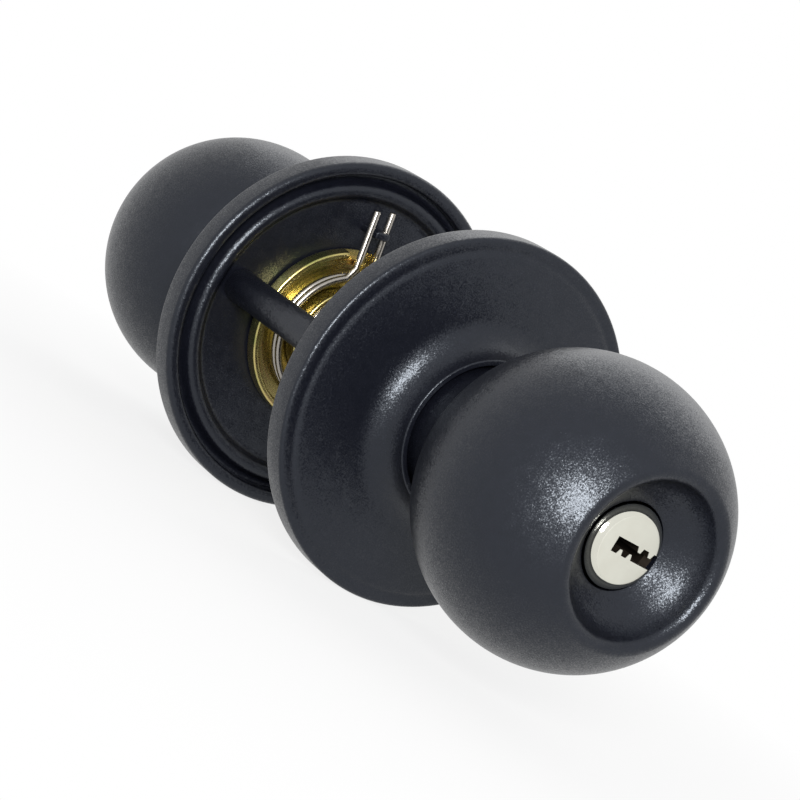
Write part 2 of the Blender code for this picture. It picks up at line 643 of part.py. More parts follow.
def add_plug(half, material):
    """The key plug with its keyway, pin holes and tail socket."""
    plug = turned_piece("key_plug", plug_points(), half, material, SMALL_STEPS, False)
    combine(plug, keyway_cutter(half), "DIFFERENCE")
    for index, depth in enumerate(pin_depths(), 1):
        name = "plug_bore_%d" % index
        start = SHEAR_LINE - max(KEY_PIN_LENGTHS) - GAP
        bore = cylinder_mesh(name, PIN_BORE, start, PLUG_RADIUS + OVERCUT, PIN_STEPS, None, across(depth))
        combine(plug, add_cutter(name, bore, half), "DIFFERENCE")
    slot = tail_slot("plug_tail_slot", PLUG_STUB_FOOT - OVERCUT, PLUG_STUB_FOOT + TAIL_SOCKET, half)
    combine(plug, slot, "DIFFERENCE")
    inner = PLUG_STUB_RADIUS + GAP
    top = BARREL_FOOT - GAP
    points = ring_points(inner, BARREL_RADIUS - 2 * GAP, top - PLUG_CAP_THICKNESS, top)
    turned_piece("plug_cap", points, half, material, SMALL_STEPS)


def add_pins(half, key_material, driver_material, spring_material):
    """Five stacks, lifted to the shear line as a key holds them, so the plug can turn."""
    driver_start = BARREL_BORE + PIN_SET_BACK
    spring_start = driver_start + DRIVER_PIN_LENGTH + GAP
    for index, depth in enumerate(pin_depths(), 1):
        length = KEY_PIN_LENGTHS[(index - 1) % len(KEY_PIN_LENGTHS)]
        tip = SHEAR_LINE - length
        key_pin = [
            (0.0, SHEAR_LINE),
            (PIN_RADIUS, SHEAR_LINE),
            (PIN_RADIUS, tip + 0.6 * PIN_RADIUS),
            (0.35 * PIN_RADIUS, tip),
            (0.0, tip),
        ]
        driver = [
            (0.0, driver_start + DRIVER_PIN_LENGTH),
            (PIN_RADIUS, driver_start + DRIVER_PIN_LENGTH),
            (PIN_RADIUS, driver_start),
            (0.0, driver_start),
        ]
        for name, points, material in (
            ("key_pin_%d" % index, key_pin, key_material),
            ("driver_pin_%d" % index, driver, driver_material),
        ):
            pin = turned_piece(name, points, half, material, PIN_STEPS, False)
            pin.matrix_local = across(depth)
        add_pin_spring(index, spring_start, depth, half, spring_material)


def wire_piece(name, points, radius, resolution, half, material):
    """A bent wire along the given points."""
    curve = bpy.data.curves.new(name, "CURVE")
    curve.dimensions = "3D"
    curve.bevel_depth = radius
    curve.bevel_resolution = resolution
    curve.use_fill_caps = True
    spline = curve.splines.new("POLY")
    spline.points.add(len(points) - 1)
    for target, point in zip(spline.points, points):
        target.co = (*point, 1.0)
    return add_piece(name, curve, half, material)


def add_pin_spring(index, start, depth, half, material):
    """The small coil spring behind one driver pin."""
    length = CHAMBER_REACH - start - PIN_SPRING_WIRE
    radius = PIN_RADIUS - PIN_SPRING_WIRE
    count = PIN_SPRING_STEPS * PIN_SPRING_TURNS
    points = []
    for step in range(count + 1):
        angle = 2 * math.pi * step / PIN_SPRING_STEPS
        height = start + PIN_SPRING_WIRE + (length - PIN_SPRING_WIRE) * step / count
        points.append((radius * math.cos(angle), radius * math.sin(angle), height))
    spring = wire_piece("pin_spring_%d" % index, points, PIN_SPRING_WIRE, 0, half, material)
    spring.matrix_local = across(depth)


def return_spring_path():
    """Two straight legs up, joined by the coil round the inside shank."""
    lean = math.degrees(math.asin(LEG_SPACING / COIL_RADIUS))
    start_degrees = 90 + lean + 6
    sweep = 360 * COIL_TURNS - 2 * (lean + 6)
    end_z = COIL_START_Z - COIL_PITCH * sweep / 360
    bend = COIL_RADIUS + LEG_BEND
    points = [(-LEG_SPACING, LEG_TIP, COIL_START_Z), (-LEG_SPACING, bend, COIL_START_Z)]
    steps = COIL_STEPS * COIL_TURNS
    for step in range(steps + 1):
        angle = math.radians(start_degrees + sweep * step / steps)
        height = COIL_START_Z + (end_z - COIL_START_Z) * step / steps
        points.append((COIL_RADIUS * math.cos(angle), COIL_RADIUS * math.sin(angle), height))
    points.append((LEG_SPACING, bend, end_z))
    points.append((LEG_SPACING, LEG_TIP, end_z))
    return points


def add_spring_cup(half, plate, material, wire_material):
    """The cup on the inside plate, the spring in it, and the plate's stop tab."""
    base_top = PLATE_FLOOR - GAP
    inner = SHANK_RADIUS + 2 * GAP
    points = [
        (inner, base_top),
        (CUP_RADIUS, base_top),
        (CUP_RADIUS, CUP_RIM_Z + EDGE_BREAK),
        (CUP_RADIUS - EDGE_BREAK, CUP_RIM_Z),
        (CUP_RADIUS - CUP_WALL, CUP_RIM_Z),
        (CUP_RADIUS - CUP_WALL, CUP_FLOOR_Z),
        (inner, CUP_FLOOR_Z),
    ]
    cup = turned_piece("spring_cup", points, half, material, ROUND_STEPS)
    reach = LEG_SPACING + COIL_WIRE + 2 * GAP
    low, high = (-reach, COIL_RADIUS, CUP_RIM_Z - OVERCUT), (reach, CUP_RADIUS + OVERCUT, CUP_FLOOR_Z)
    window = add_cutter("leg_window", box_mesh("leg_window", low, high), half)
    combine(cup, window, "DIFFERENCE")
    spring = wire_piece("return_spring", return_spring_path(), COIL_WIRE, 2, half, wire_material)
    tab_mesh = box_mesh(
        "stop_tab",
        (-DOG_HALF_WIDTH, TAB_RADIUS - TAB_THICKNESS / 2, COIL_START_Z - 2 * COIL_PITCH - COIL_WIRE),
        (DOG_HALF_WIDTH, TAB_RADIUS + TAB_THICKNESS / 2, PLATE_FLOOR + PLATE_SHEET / 2),
    )
    tab = add_cutter("stop_tab", tab_mesh, half)
    combine(plate, tab, "UNION")
    for turned in (window, spring, tab):
        turned.rotation_euler.z = math.radians(SPRING_TURN)


def hub_ring_z():
    """Where the spring hub's disc starts, clear of the coil's last turn."""
    return COIL_START_Z - COIL_TURNS * COIL_PITCH - COIL_WIRE - GAP


def add_spring_hub(half, material):
    """The disc on the inside shank, whose finger and tooth push a leg as the knob turns."""
    disc_top = hub_ring_z()
    disc_foot = disc_top - RING_THICKNESS
    points = [
        (SHANK_RADIUS + GAP, CUP_FLOOR_Z - GAP),
        (SHANK_RADIUS + GAP + RING_THICKNESS, CUP_FLOOR_Z - GAP),
        (SHANK_RADIUS + GAP + RING_THICKNESS, disc_top),
        (HUB_RADIUS, disc_top),
        (HUB_RADIUS, disc_foot),
        (SHANK_RADIUS + GAP, disc_foot),
    ]
    hub = turned_piece("spring_hub", points, half, material, SMALL_STEPS)
    wide = DOG_HALF_WIDTH
    tooth_foot, tooth_top = disc_foot + 0.5 * RING_THICKNESS, CUP_FLOOR_Z - 2 * GAP
    boxes = (
        ("hub_finger", (-wide, HUB_RADIUS - OVERCUT, disc_foot), (wide, DOG_OUTER, disc_top)),
        ("hub_tooth", (-wide, DOG_INNER, tooth_foot), (wide, DOG_OUTER, tooth_top)),
    )
    for name, low, high in boxes:
        dog = add_cutter(name, box_mesh(name, low, high), half)
        dog.rotation_euler.z = math.radians(SPRING_TURN)
        combine(hub, dog, "UNION")


def add_button(half, material, metal):
    """The turn button in the inside knob: a disc, a thumb grip and a slotted stem."""
    points = [
        (0.0, PLUG_TOP),
        (PLUG_FLANGE_RADIUS - EDGE_BREAK, PLUG_TOP),
        (PLUG_FLANGE_RADIUS, PLUG_TOP - EDGE_BREAK),
        (PLUG_FLANGE_RADIUS, FLANGE_BACK),
        (BUTTON_STEM_RADIUS, FLANGE_BACK),
        (BUTTON_STEM_RADIUS, BUTTON_FOOT),
        (0.0, BUTTON_FOOT),
    ]
    button = turned_piece("turn_button", points, half, material, SMALL_STEPS, False)
    grip = add_cutter(
        "button_grip",
        box_mesh(
            "button_grip",
            (-BUTTON_GRIP_LENGTH / 2, -BUTTON_GRIP_WIDTH / 2, PLUG_TOP - OVERCUT),
            (BUTTON_GRIP_LENGTH / 2, BUTTON_GRIP_WIDTH / 2, PLUG_TOP + BUTTON_GRIP_HEIGHT),
        ),
        half,
    )
    rounding = grip.modifiers.new("rounded", "BEVEL")
    rounding.width = BUTTON_GRIP_ROUNDING
    rounding.segments = 2
    combine(button, grip, "UNION")
    slot = tail_slot("button_tail_slot", BUTTON_FOOT - OVERCUT, BUTTON_FOOT + BUTTON_TAIL_SOCKET, half)
    combine(button, slot, "DIFFERENCE")
    inner = BUTTON_STEM_RADIUS + GAP
    nut_top = DISH_BACK_Z - GAP
    points = ring_points(inner, DISH_HOLE + BUTTON_NUT_WIDTH, nut_top - RING_THICKNESS, nut_top)
    turned_piece("button_push_nut", points, half, metal, SMALL_STEPS)


def add_tail_bar(outside, material):
    """The flat bar from the plug's stub, through the spindle, to the button's stem."""
    top = PLUG_STUB_FOOT + TAIL_SOCKET - GAP
    foot = -DOOR_THICKNESS - (BUTTON_FOOT + BUTTON_TAIL_SOCKET - GAP)
    corner = Vector((TAIL_WIDTH / 2, TAIL_THICKNESS / 2, 0.0))
    mesh = box_mesh("tail_bar", Vector((0.0, 0.0, foot)) - corner, Vector((0.0, 0.0, top)) + corner)
    add_piece("tail_bar", mesh, outside, material)


def add_spindle(outside, material):
    """The hollow D-shaped spindle that turns both knobs and the latch between them."""
    top = SHANK_TOP - GAP
    foot = -DOOR_THICKNESS - SPINDLE_ENGAGEMENT
    mesh = spindle_mesh("spindle", SPINDLE_RADIUS, SPINDLE_FLAT, foot, top)
    spindle = add_piece("spindle", mesh, outside, material)
    bore = cylinder_mesh("spindle_bore", SPINDLE_BORE, foot - OVERCUT, top + OVERCUT, POST_STEPS)
    combine(spindle, add_cutter("spindle_bore", bore, outside), "DIFFERENCE")


def add_outside_half(half, black, zinc, steel, nickel, brass):
    """The key side: knob, rose, posts and key cylinder."""
    plate = add_rose_and_plate("outside", half, black)[1]
    for side, x in (("left", -POST_OFFSET), ("right", POST_OFFSET)):
        add_post(side, x, half, plate, black)
    turned_piece("outside_knob", knob_points(), half, black, ROUND_STEPS)
    washer_top = PLATE_FLOOR - GAP
    washer_foot = washer_top - RING_THICKNESS
    inner = SHANK_RADIUS + GAP
    washer = ring_points(inner, inner + WASHER_WIDTH, washer_foot, washer_top)
    turned_piece("outside_washer", washer, half, zinc, SMALL_STEPS)
    add_shank("outside", half, washer_foot - GAP, zinc)
    add_circlip("outside", half, washer_foot - GAP, steel)
    holder_top = CHAMBER_TOP - HOLDER_BELOW_CHAMBER_TOP
    step_inner, step_z = BARREL_RADIUS - GAP, BARREL_FOOT - GAP
    holder = add_holder("cylinder_holder", HOLDER_INNER, step_inner, step_z, holder_top, half, zinc)
    reach = CHAMBER_WIDTH / 2 + GAP
    slot_low = (-CHAMBER_REACH - OVERCUT, -reach, CHAMBER_FOOT - GAP)
    slot = box_mesh("holder_slot", slot_low, (-0.5 * BARREL_BORE, reach, CHAMBER_TOP + OVERCUT))
    combine(holder, add_cutter("holder_slot", slot, half), "DIFFERENCE")
    add_barrel(half, nickel)
    add_plug(half, nickel)
    add_pins(half, brass, brass, steel)
    add_spindle(half, zinc)
    add_tail_bar(half, steel)


def add_inside_half(half, black, zinc, steel):
    """The room side: knob, rose, spring work, screws and turn button."""
    rose, plate = add_rose_and_plate("inside", half, black)
    for side, x in (("left", POST_OFFSET), ("right", -POST_OFFSET)):
        add_screw(side, x, half, rose, plate, black)
    turned_piece("inside_knob", knob_points(), half, black, ROUND_STEPS)
    ring_top = hub_ring_z() - RING_THICKNESS - GAP
    add_shank("inside", half, ring_top, zinc)
    add_circlip("inside", half, ring_top, steel)
    add_spring_cup(half, plate, zinc, steel)
    add_spring_hub(half, zinc)
    inner = BUTTON_STEM_RADIUS + GAP
    sleeve_top = DISH_BACK_Z - SLEEVE_BELOW_DISH
    add_holder("button_sleeve", inner, inner - SLEEVE_STEP, BUTTON_FOOT - GAP, sleeve_top, half, zinc)
    add_button(half, black, steel)


def build_lockset():
    """Makes both halves, each in the frame of its own rose."""
    start_empty_scene()
    black = finish("black_powder_coat", (0.018, 0.02, 0.027), 0.45, 0.3)
    zinc = finish("yellow_zinc", (0.62, 0.45, 0.12), 0.35, 1.0)
    steel = finish("bright_steel", (0.62, 0.61, 0.6), 0.25, 1.0)
    nickel = finish("nickel_plate", (0.72, 0.69, 0.6), 0.3, 1.0)
    brass = finish("pin_brass", (0.7, 0.42, 0.2), 0.35, 1.0)
    quarter = math.radians(90)
    outside = half_frame("outside_frame", -DOOR_THICKNESS / 2, (quarter, 0.0, 0.0))
    inside = half_frame("inside_frame", DOOR_THICKNESS / 2, (quarter, 0.0, math.radians(180)))
    add_outside_half(outside, black, zinc, steel, nickel, brass)
    add_inside_half(inside, black, zinc, steel)


build_lockset()
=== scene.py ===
"""The looks of a keyed door knob lockset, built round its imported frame.

The frame's origin is the middle of the door bore: +Y runs along the spindle from the key side
to the room side, +Z is up on the door, and +X is to the right seen from the key side.
"""

import math

import bmesh
import bpy
from mathutils import Matrix, Vector


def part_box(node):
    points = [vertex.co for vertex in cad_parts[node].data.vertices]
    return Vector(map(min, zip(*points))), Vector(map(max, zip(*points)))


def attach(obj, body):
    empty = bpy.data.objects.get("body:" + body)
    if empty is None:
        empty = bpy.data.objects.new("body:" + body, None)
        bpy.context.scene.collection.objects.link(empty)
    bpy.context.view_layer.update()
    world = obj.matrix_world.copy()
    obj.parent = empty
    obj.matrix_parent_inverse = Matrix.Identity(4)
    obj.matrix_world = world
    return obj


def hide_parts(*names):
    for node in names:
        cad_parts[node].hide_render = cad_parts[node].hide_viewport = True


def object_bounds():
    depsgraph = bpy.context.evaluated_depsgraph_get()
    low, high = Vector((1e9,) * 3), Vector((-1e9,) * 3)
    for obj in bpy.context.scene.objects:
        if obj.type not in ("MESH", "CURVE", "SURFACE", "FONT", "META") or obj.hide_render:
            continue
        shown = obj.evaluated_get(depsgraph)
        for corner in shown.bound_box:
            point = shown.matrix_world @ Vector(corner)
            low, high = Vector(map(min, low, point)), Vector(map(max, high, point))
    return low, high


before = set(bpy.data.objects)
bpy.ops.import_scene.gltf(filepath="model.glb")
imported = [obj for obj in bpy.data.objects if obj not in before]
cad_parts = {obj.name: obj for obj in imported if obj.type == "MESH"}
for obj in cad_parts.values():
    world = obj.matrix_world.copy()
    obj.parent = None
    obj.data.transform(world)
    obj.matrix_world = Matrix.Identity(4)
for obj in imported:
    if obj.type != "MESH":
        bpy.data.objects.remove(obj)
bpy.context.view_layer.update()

MM = 0.001


# The camera. In the photograph the lockset lies rolled over on its roses, and the camera looks
# down at its key side from the left. Here the lockset stays as it hangs on its door, so the
# camera rolls instead.
CAMERA_PLACE = Vector((-252.9, -346.9, 23.5)) * MM
CAMERA_TURN = -36.64
CAMERA_DROP = 3.43
CAMERA_ROLL = 31.44
CAMERA_LENS = 112.6

lens = bpy.data.cameras.new("photo_camera")
lens.lens = CAMERA_LENS
lens.clip_start = 0.01
camera = bpy.data.objects.new("photo_camera", lens)
bpy.context.scene.collection.objects.link(camera)
camera.matrix_world = (
    Matrix.Translation(CAMERA_PLACE)
    @ Matrix.Rotation(math.radians(CAMERA_TURN), 4, "Z")
    @ Matrix.Rotation(math.radians(90 - CAMERA_DROP), 4, "X")
    @ Matrix.Rotation(math.radians(CAMERA_ROLL), 4, "Z")
)
bpy.context.scene.camera = camera


# The two mounting plates, pressed from sheet steel with a rounded ridge near the edge, which
# stiffens them and centres them in the door's bore. They are coated black with the roses, and
# the inside one has a tab bent up between the spring's legs.
PLATE_HOLE = 8.6
PLATE_FLOOR = 2.6
PLATE_SHEET = 1.2
PLATE_EDGE_FLOOR = 2.84
RIDGE_RADIUS = 27.2
RIDGE_CREST = 0.4
RIDGE_HALF_WIDTH = 1.9
PLATE_RADIUS = 31.2
ROUND = 180
SPRING_TURN = -13.0
TAB_RADIUS = 20.5
TAB_THICKNESS = 1.4
TAB_HALF_WIDTH = 1.46
TAB_END = -3.0

outside_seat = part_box("outside_rose")[1].y
inside_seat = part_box("inside_rose")[0].y
upright = Matrix.Rotation(math.radians(90), 4, "X")
half_turn = Matrix.Rotation(math.radians(180), 4, "Z")
HALVES = {
    "outside": Matrix.Translation((0.0, outside_seat, 0.0)) @ upright,
    "inside": Matrix.Translation((0.0, inside_seat, 0.0)) @ half_turn @ upright,
}


class Wire:
    """One output in a finish's nodes. Sums written with it add the Math nodes they need."""

    def __init__(self, tree, socket=None):
        self.tree = tree
        self.socket = socket

    def node(self, kind, settings=None, inputs=None, out=0):
        """Adds a node: first its settings, then a value or a wire for each named socket."""
        made = self.tree.nodes.new("ShaderNode" + kind)
        for name, value in (settings or {}).items():
            if name == "stops":
                while len(made.color_ramp.elements) < len(value):
                    made.color_ramp.elements.new(0.5)
                for element, (place, colour) in zip(made.color_ramp.elements, value):
                    element.position = place
                    element.color = (*colour, 1.0)
            else:
                setattr(made, name, value)
        for name, value in (inputs or {}).items():
            if isinstance(value, Wire):
                self.tree.links.new(value.socket, made.inputs[name])
            else:
                made.inputs[name].default_value = value
        return Wire(self.tree, made.outputs[out])

    def blend(self, factor, first, second):
        """Mixes two colours, or a colour and a wire, by a factor."""
        ends = [end if isinstance(end, Wire) else (*end, 1) for end in (first, second)]
        return self.node("Mix", {"data_type": "RGBA"}, {0: factor, 6: ends[0], 7: ends[1]}, out=2)

    def sum(self, operation, first, second):
        return self.node("Math", {"operation": operation}, {0: first, 1: second})

    def __add__(self, other):
        return self.sum("ADD", self, other)

    def __radd__(self, other):
        return self.sum("ADD", other, self)

    def __sub__(self, other):
        return self.sum("SUBTRACT", self, other)

    def __rsub__(self, other):
        return self.sum("SUBTRACT", other, self)

    def __mul__(self, other):
        return self.sum("MULTIPLY", self, other)

    def __rmul__(self, other):
        return self.sum("MULTIPLY", other, self)

    def __gt__(self, other):
        return self.sum("GREATER_THAN", self, other)

    def __lt__(self, other):
        return self.sum("LESS_THAN", self, other)


def new_finish(name, metallic, roughness):
    """A finish with the values that don't vary. Returns it, its shader and a wire to build on."""
    finish = bpy.data.materials.new(name)
    finish.use_nodes = True
    shader = finish.node_tree.nodes["Principled BSDF"]
    shader.inputs["Metallic"].default_value = metallic
    shader.inputs["Roughness"].default_value = roughness
    return finish, shader, Wire(finish.node_tree)


def feed(shader, **wires):
    """Links wires to the shader's sockets, named with _ for a space."""
    for name, wire in wires.items():
        wire.tree.links.new(wire.socket, shader.inputs[name.replace("_", " ")])


COAT_DEEP = (0.003, 0.0035, 0.006)
COAT_PALE = (0.005, 0.0055, 0.009)
COAT_GRAIN = 0.24 * MM
COAT_GRAIN_LEAN = 0.6
COAT_PEEL = 1.6 * MM
COAT_PEEL_LEAN = 0.12
COAT_ROUGHNESS = 0.27
COAT_ROUGHNESS_SPREAD = 0.10
COAT_SPECULAR = 0.42
COAT_TINT = (0.84, 0.91, 1.0, 1.0)


def leaned_normal(wire, place, size, amount, facing):
    """Tips a normal at random over patches of this size."""
    cloud = wire.node("TexNoise", inputs={"Vector": place, "Scale": 1 / size, "Detail": 1.0}, out=1)
    tilt = wire.node("VectorMath", {"operation": "SUBTRACT"}, {0: cloud, 1: (0.5, 0.5, 0.5)})
    lean = wire.node("VectorMath", {"operation": "SCALE"}, {0: tilt, 3: amount})
    leaned = wire.node("VectorMath", {"operation": "ADD"}, {0: facing, 1: lean})
    return wire.node("VectorMath", {"operation": "NORMALIZE"}, {0: leaned})


def black_powder_coat():
    """Satin black powder coat: its fine grains glint where they face a light."""
    finish, shader, wire = new_finish("black_powder_coat", 0.0, 0.3)
    shader.inputs["Specular IOR Level"].default_value = COAT_SPECULAR
    shader.inputs["Specular Tint"].default_value = COAT_TINT
    place = wire.node("TexCoord", out=3)
    peel = wire.node("TexNoise", inputs={"Vector": place, "Scale": 1 / COAT_PEEL, "Detail": 3.0})
    colour = wire.blend(peel, COAT_DEEP, COAT_PALE)
    flat = wire.node("NewGeometry", out=1)
    waved = leaned_normal(wire, place, COAT_PEEL, COAT_PEEL_LEAN, flat)
    grained = leaned_normal(wire, place, COAT_GRAIN, COAT_GRAIN_LEAN, waved)
    roughness = COAT_ROUGHNESS + peel * COAT_ROUGHNESS_SPREAD
    feed(shader, Base_Color=colour, Roughness=roughness, Normal=grained)
    return finish


coat = black_powder_coat()


def draw(form, moves):
    """Draws an outline in the half's (radius, height) plane, in millimetres.

    A move is a corner (radius, height), a corner to round (radius, height, rounding), or an
    arc about a centre (radius, height, degrees, steps), where degrees turn from out to up.
    """
    last = None
    rounded = {}
    for move in moves:
        if len(move) == 4:
            centre = (move[0] * MM, 0.0, move[1] * MM)
            swept = bmesh.ops.spin(
                form, geom=[last], cent=centre, axis=(0, -1, 0), angle=math.radians(move[2]), steps=move[3]
            )
            last = swept["geom_last"][0]
            continue
        corner = form.verts.new((move[0] * MM, 0.0, move[1] * MM))
        if last is not None:
            form.edges.new((last, corner))
        if len(move) == 3:
            rounded.setdefault(move[2], []).append(corner)
        last = corner
    return rounded


def round_corners(form, rounded, segments=5):
    """Rounds the outline's corners, each by its own amount."""
    for amount, corners in rounded.items():
        bmesh.ops.bevel(
            form, geom=corners, offset=amount * MM, offset_type="OFFSET", segments=segments, profile=0.5,
            affect="VERTICES", clamp_overlap=True, material=-1,
        )


def turned_form(moves, closed=True, steps=ROUND, segments=5):
    """Spins an outline a full turn about the half's own axis."""
    form = bmesh.new()
    rounded = draw(form, moves)
    if closed:
        form.verts.ensure_lookup_table()
        ends = [vert for vert in form.verts if len(vert.link_edges) == 1]
        form.edges.new(ends)
    round_corners(form, rounded, segments)
    bmesh.ops.spin(
        form, geom=form.verts[:] + form.edges[:], cent=(0, 0, 0), axis=(0, 0, 1), angle=math.tau,
        steps=steps, use_merge=True,
    )
    bmesh.ops.remove_doubles(form, verts=form.verts[:], dist=0.002 * MM)
    bmesh.ops.recalc_face_normals(form, faces=form.faces[:])
    return form


def settle(form, name, half, finish, body, nodes, sharp=35.0):
    """Puts a finished form in its half, and says what it rides on and stands for."""
    form.transform(HALVES[half])
    mesh = bpy.data.meshes.new(name)
    form.to_mesh(mesh)
    form.free()
    mesh.shade_smooth()
    mesh.set_sharp_from_angle(angle=math.radians(sharp))
    mesh.materials.append(finish)
    piece = bpy.data.objects.new(name, mesh)
    bpy.context.scene.collection.objects.link(piece)
    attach(piece, body)
    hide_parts(*nodes)
    return piece


def plate_moves():
    """The plate's section, from its hole out to its edge and back under."""
    back = PLATE_FLOOR + PLATE_SHEET
    inner_foot, outer_foot = RIDGE_RADIUS - RIDGE_HALF_WIDTH, RIDGE_RADIUS + RIDGE_HALF_WIDTH
    return [
        (PLATE_HOLE, back),
        (inner_foot - 0.6, back, 0.5),
        (RIDGE_RADIUS - 0.7, RIDGE_CREST + PLATE_SHEET, 0.4),
        (RIDGE_RADIUS + 0.7, RIDGE_CREST + PLATE_SHEET, 0.4),
        (outer_foot + 0.6, back, 0.5),
        (PLATE_RADIUS, back),
        (PLATE_RADIUS, PLATE_EDGE_FLOOR),
        (outer_foot, PLATE_EDGE_FLOOR, 0.6),
        (RIDGE_RADIUS + 0.9, RIDGE_CREST, 0.8),
        (RIDGE_RADIUS - 0.9, RIDGE_CREST, 0.8),
        (inner_foot, PLATE_FLOOR, 0.8),
        (PLATE_HOLE + 0.3, PLATE_FLOOR),
        (PLATE_HOLE, PLATE_FLOOR + 0.3),
    ]


def add_box(form, low, high, turn_degrees=0.0, rounding=0.0):
    """Adds a box between two corners in millimetres, turned about the axis, edges rounded."""
    low, high = Vector(low) * MM, Vector(high) * MM
    place = Matrix.Rotation(math.radians(turn_degrees), 4, "Z") @ Matrix.Translation((low + high) / 2)
    made = bmesh.ops.create_cube(form, size=1.0, matrix=place @ Matrix.Diagonal((*(high - low), 1.0)))
    if rounding:
        edges = list({edge for vert in made["verts"] for edge in vert.link_edges})
        bmesh.ops.bevel(
            form, geom=edges, offset=rounding * MM, offset_type="OFFSET", segments=3, profile=0.5,
            affect="EDGES", clamp_overlap=True, material=-1,
        )


settle(turned_form(plate_moves()), "outside_plate_pressed", "outside", coat, "roses", ["outside_plate"])
inside_plate = turned_form(plate_moves())
add_box(
    inside_plate,
    (-TAB_HALF_WIDTH, TAB_RADIUS - TAB_THICKNESS / 2, TAB_END),
    (TAB_HALF_WIDTH, TAB_RADIUS + TAB_THICKNESS / 2, PLATE_FLOOR + 0.4),
    SPRING_TURN,
    0.35,
)
settle(inside_plate, "inside_plate_pressed", "inside", coat, "roses", ["inside_plate"])


# The two posts, turned steel bars riveted to the outside plate. They pass through the latch and
# reach the inside plate, where their threaded bores take the screws. They are coated with it.
POST_RADIUS = 3.0
POST_GAP = 0.3
RIVET_RADIUS = 1.9
RIVET_HEAD_RADIUS = 3.0
POST_BORE = 1.6
POST_BORE_DEPTH = 18.0

post_offset = (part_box("post_right")[0].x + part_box("post_right")[1].x) / 2 / MM
door = (inside_seat - outside_seat) / MM
for side, x in (("left", -post_offset), ("right", post_offset)):
    back = PLATE_FLOOR + PLATE_SHEET + POST_GAP
    shoulder = PLATE_FLOOR - POST_GAP
    foot = -door - shoulder
    post = turned_form(
        [
            (0.0, back + 0.6),
            (0.7 * RIVET_HEAD_RADIUS, back + 0.6, 0.4),
            (RIVET_HEAD_RADIUS, back, 0.15),
            (RIVET_RADIUS, back),
            (RIVET_RADIUS, shoulder),
            (POST_RADIUS, shoulder, 0.15),
            (POST_RADIUS, foot, 0.4),
            (POST_BORE, foot, 0.3),
            (POST_BORE, foot + POST_BORE_DEPTH),
            (0.0, foot + POST_BORE_DEPTH + 1.0),
        ],
        closed=False,
        steps=64,
    )
    bmesh.ops.translate(post, verts=post.verts[:], vec=(x * MM, 0.0, 0.0))
    settle(post, "post_" + side + "_turned", "outside", coat, "roses", ["post_" + side])


# The shanks, turned from steel and plated yellow, with the ring groove at the tail and the D
# bore that the spindle turns. The outside one runs on a flat washer, and an open spring ring
# snaps into each groove behind its plate.
SHANK_RADIUS = 8.2
SHANK_SHOULDER = 11.0
SHANK_TOP = 20.0
SHANK_SEAT = 4.1
RING_THICKNESS = 0.8
RING_GROOVE = 0.6
SHANK_TAIL = 0.8
SPINDLE_RADIUS = 4.9
SPINDLE_FLAT = 3.7
SPINDLE_BORE = 3.5
RUNNING_GAP = 0.3
CIRCLIP_WIDTH = 2.1
CIRCLIP_MOUTH = 6.5
WASHER_OUTER = 12.1

ZINC_GOLD = (0.54, 0.45, 0.18)
ZINC_OLIVE = (0.34, 0.34, 0.12)
ZINC_ROSE = (0.60, 0.38, 0.19)
ZINC_RING = 0.75 * MM
ZINC_RING_TINT = 0.07
ZINC_ROUGHNESS = 0.20
ZINC_ROUGHNESS_SPREAD = 0.16


def radius_from_axis(wire, place):
    """Distance from the spindle axis, for marks that a lathe leaves."""
    flat = wire.node("VectorMath", {"operation": "MULTIPLY"}, {0: place, 1: (1.0, 0.0, 1.0)})
    return wire.node("VectorMath", {"operation": "LENGTH"}, {0: flat}, out=1)


def yellow_zinc():
    """Yellow passivated zinc: gold with olive and rose bloom, over fine turning rings."""
    finish, shader, wire = new_finish("yellow_zinc", 1.0, 0.3)
    place = wire.node("TexCoord", out=3)
    bloom = wire.node("TexNoise", inputs={"Vector": place, "Scale": 1 / (6 * MM), "Detail": 4.0})
    stops = [(0.30, ZINC_OLIVE), (0.48, ZINC_GOLD), (0.62, ZINC_GOLD), (0.78, ZINC_ROSE)]
    radius = radius_from_axis(wire, place)
    rings = wire.node("Math", {"operation": "SINE"}, {0: radius * (math.tau / ZINC_RING)})
    colour = wire.node("ValToRGB", {"stops": stops}, {"Fac": bloom + rings * ZINC_RING_TINT})
    fine = wire.node("TexNoise", inputs={"Vector": place, "Scale": 1 / (0.25 * MM), "Detail": 3.0})
    height = rings * 0.5 + fine
    skin = wire.node("Bump", inputs={"Height": height, "Distance": 0.006 * MM})
    roughness = ZINC_ROUGHNESS + fine * ZINC_ROUGHNESS_SPREAD
    feed(shader, Base_Color=colour, Roughness=roughness, Normal=skin)
    return finish


STEEL_COLOUR = (0.38, 0.355, 0.32)
STEEL_SHADE = 0.8
STEEL_ROUGHNESS = 0.16
STEEL_ROUGHNESS_SPREAD = 0.2


def bright_steel():
    """Drawn and blanked steel: pale, with long fine scratches."""
    finish, shader, wire = new_finish("bright_steel", 1.0, 0.25)
    place = wire.node("TexCoord", out=3)
    stretched = wire.node("Mapping", inputs={"Vector": place, "Scale": (9.0, 9.0, 1.0)})
    lines = wire.node("TexNoise", inputs={"Vector": stretched, "Scale": 1 / (1.2 * MM), "Detail": 3.0})
    dark = tuple(STEEL_SHADE * channel for channel in STEEL_COLOUR)
    colour = wire.blend(lines, dark, STEEL_COLOUR)
    skin = wire.node("Bump", inputs={"Height": lines, "Distance": 0.004 * MM})
    roughness = STEEL_ROUGHNESS + lines * STEEL_ROUGHNESS_SPREAD
    feed(shader, Base_Color=colour, Roughness=roughness, Normal=skin)
    return finish


zinc = yellow_zinc()
steel = bright_steel()


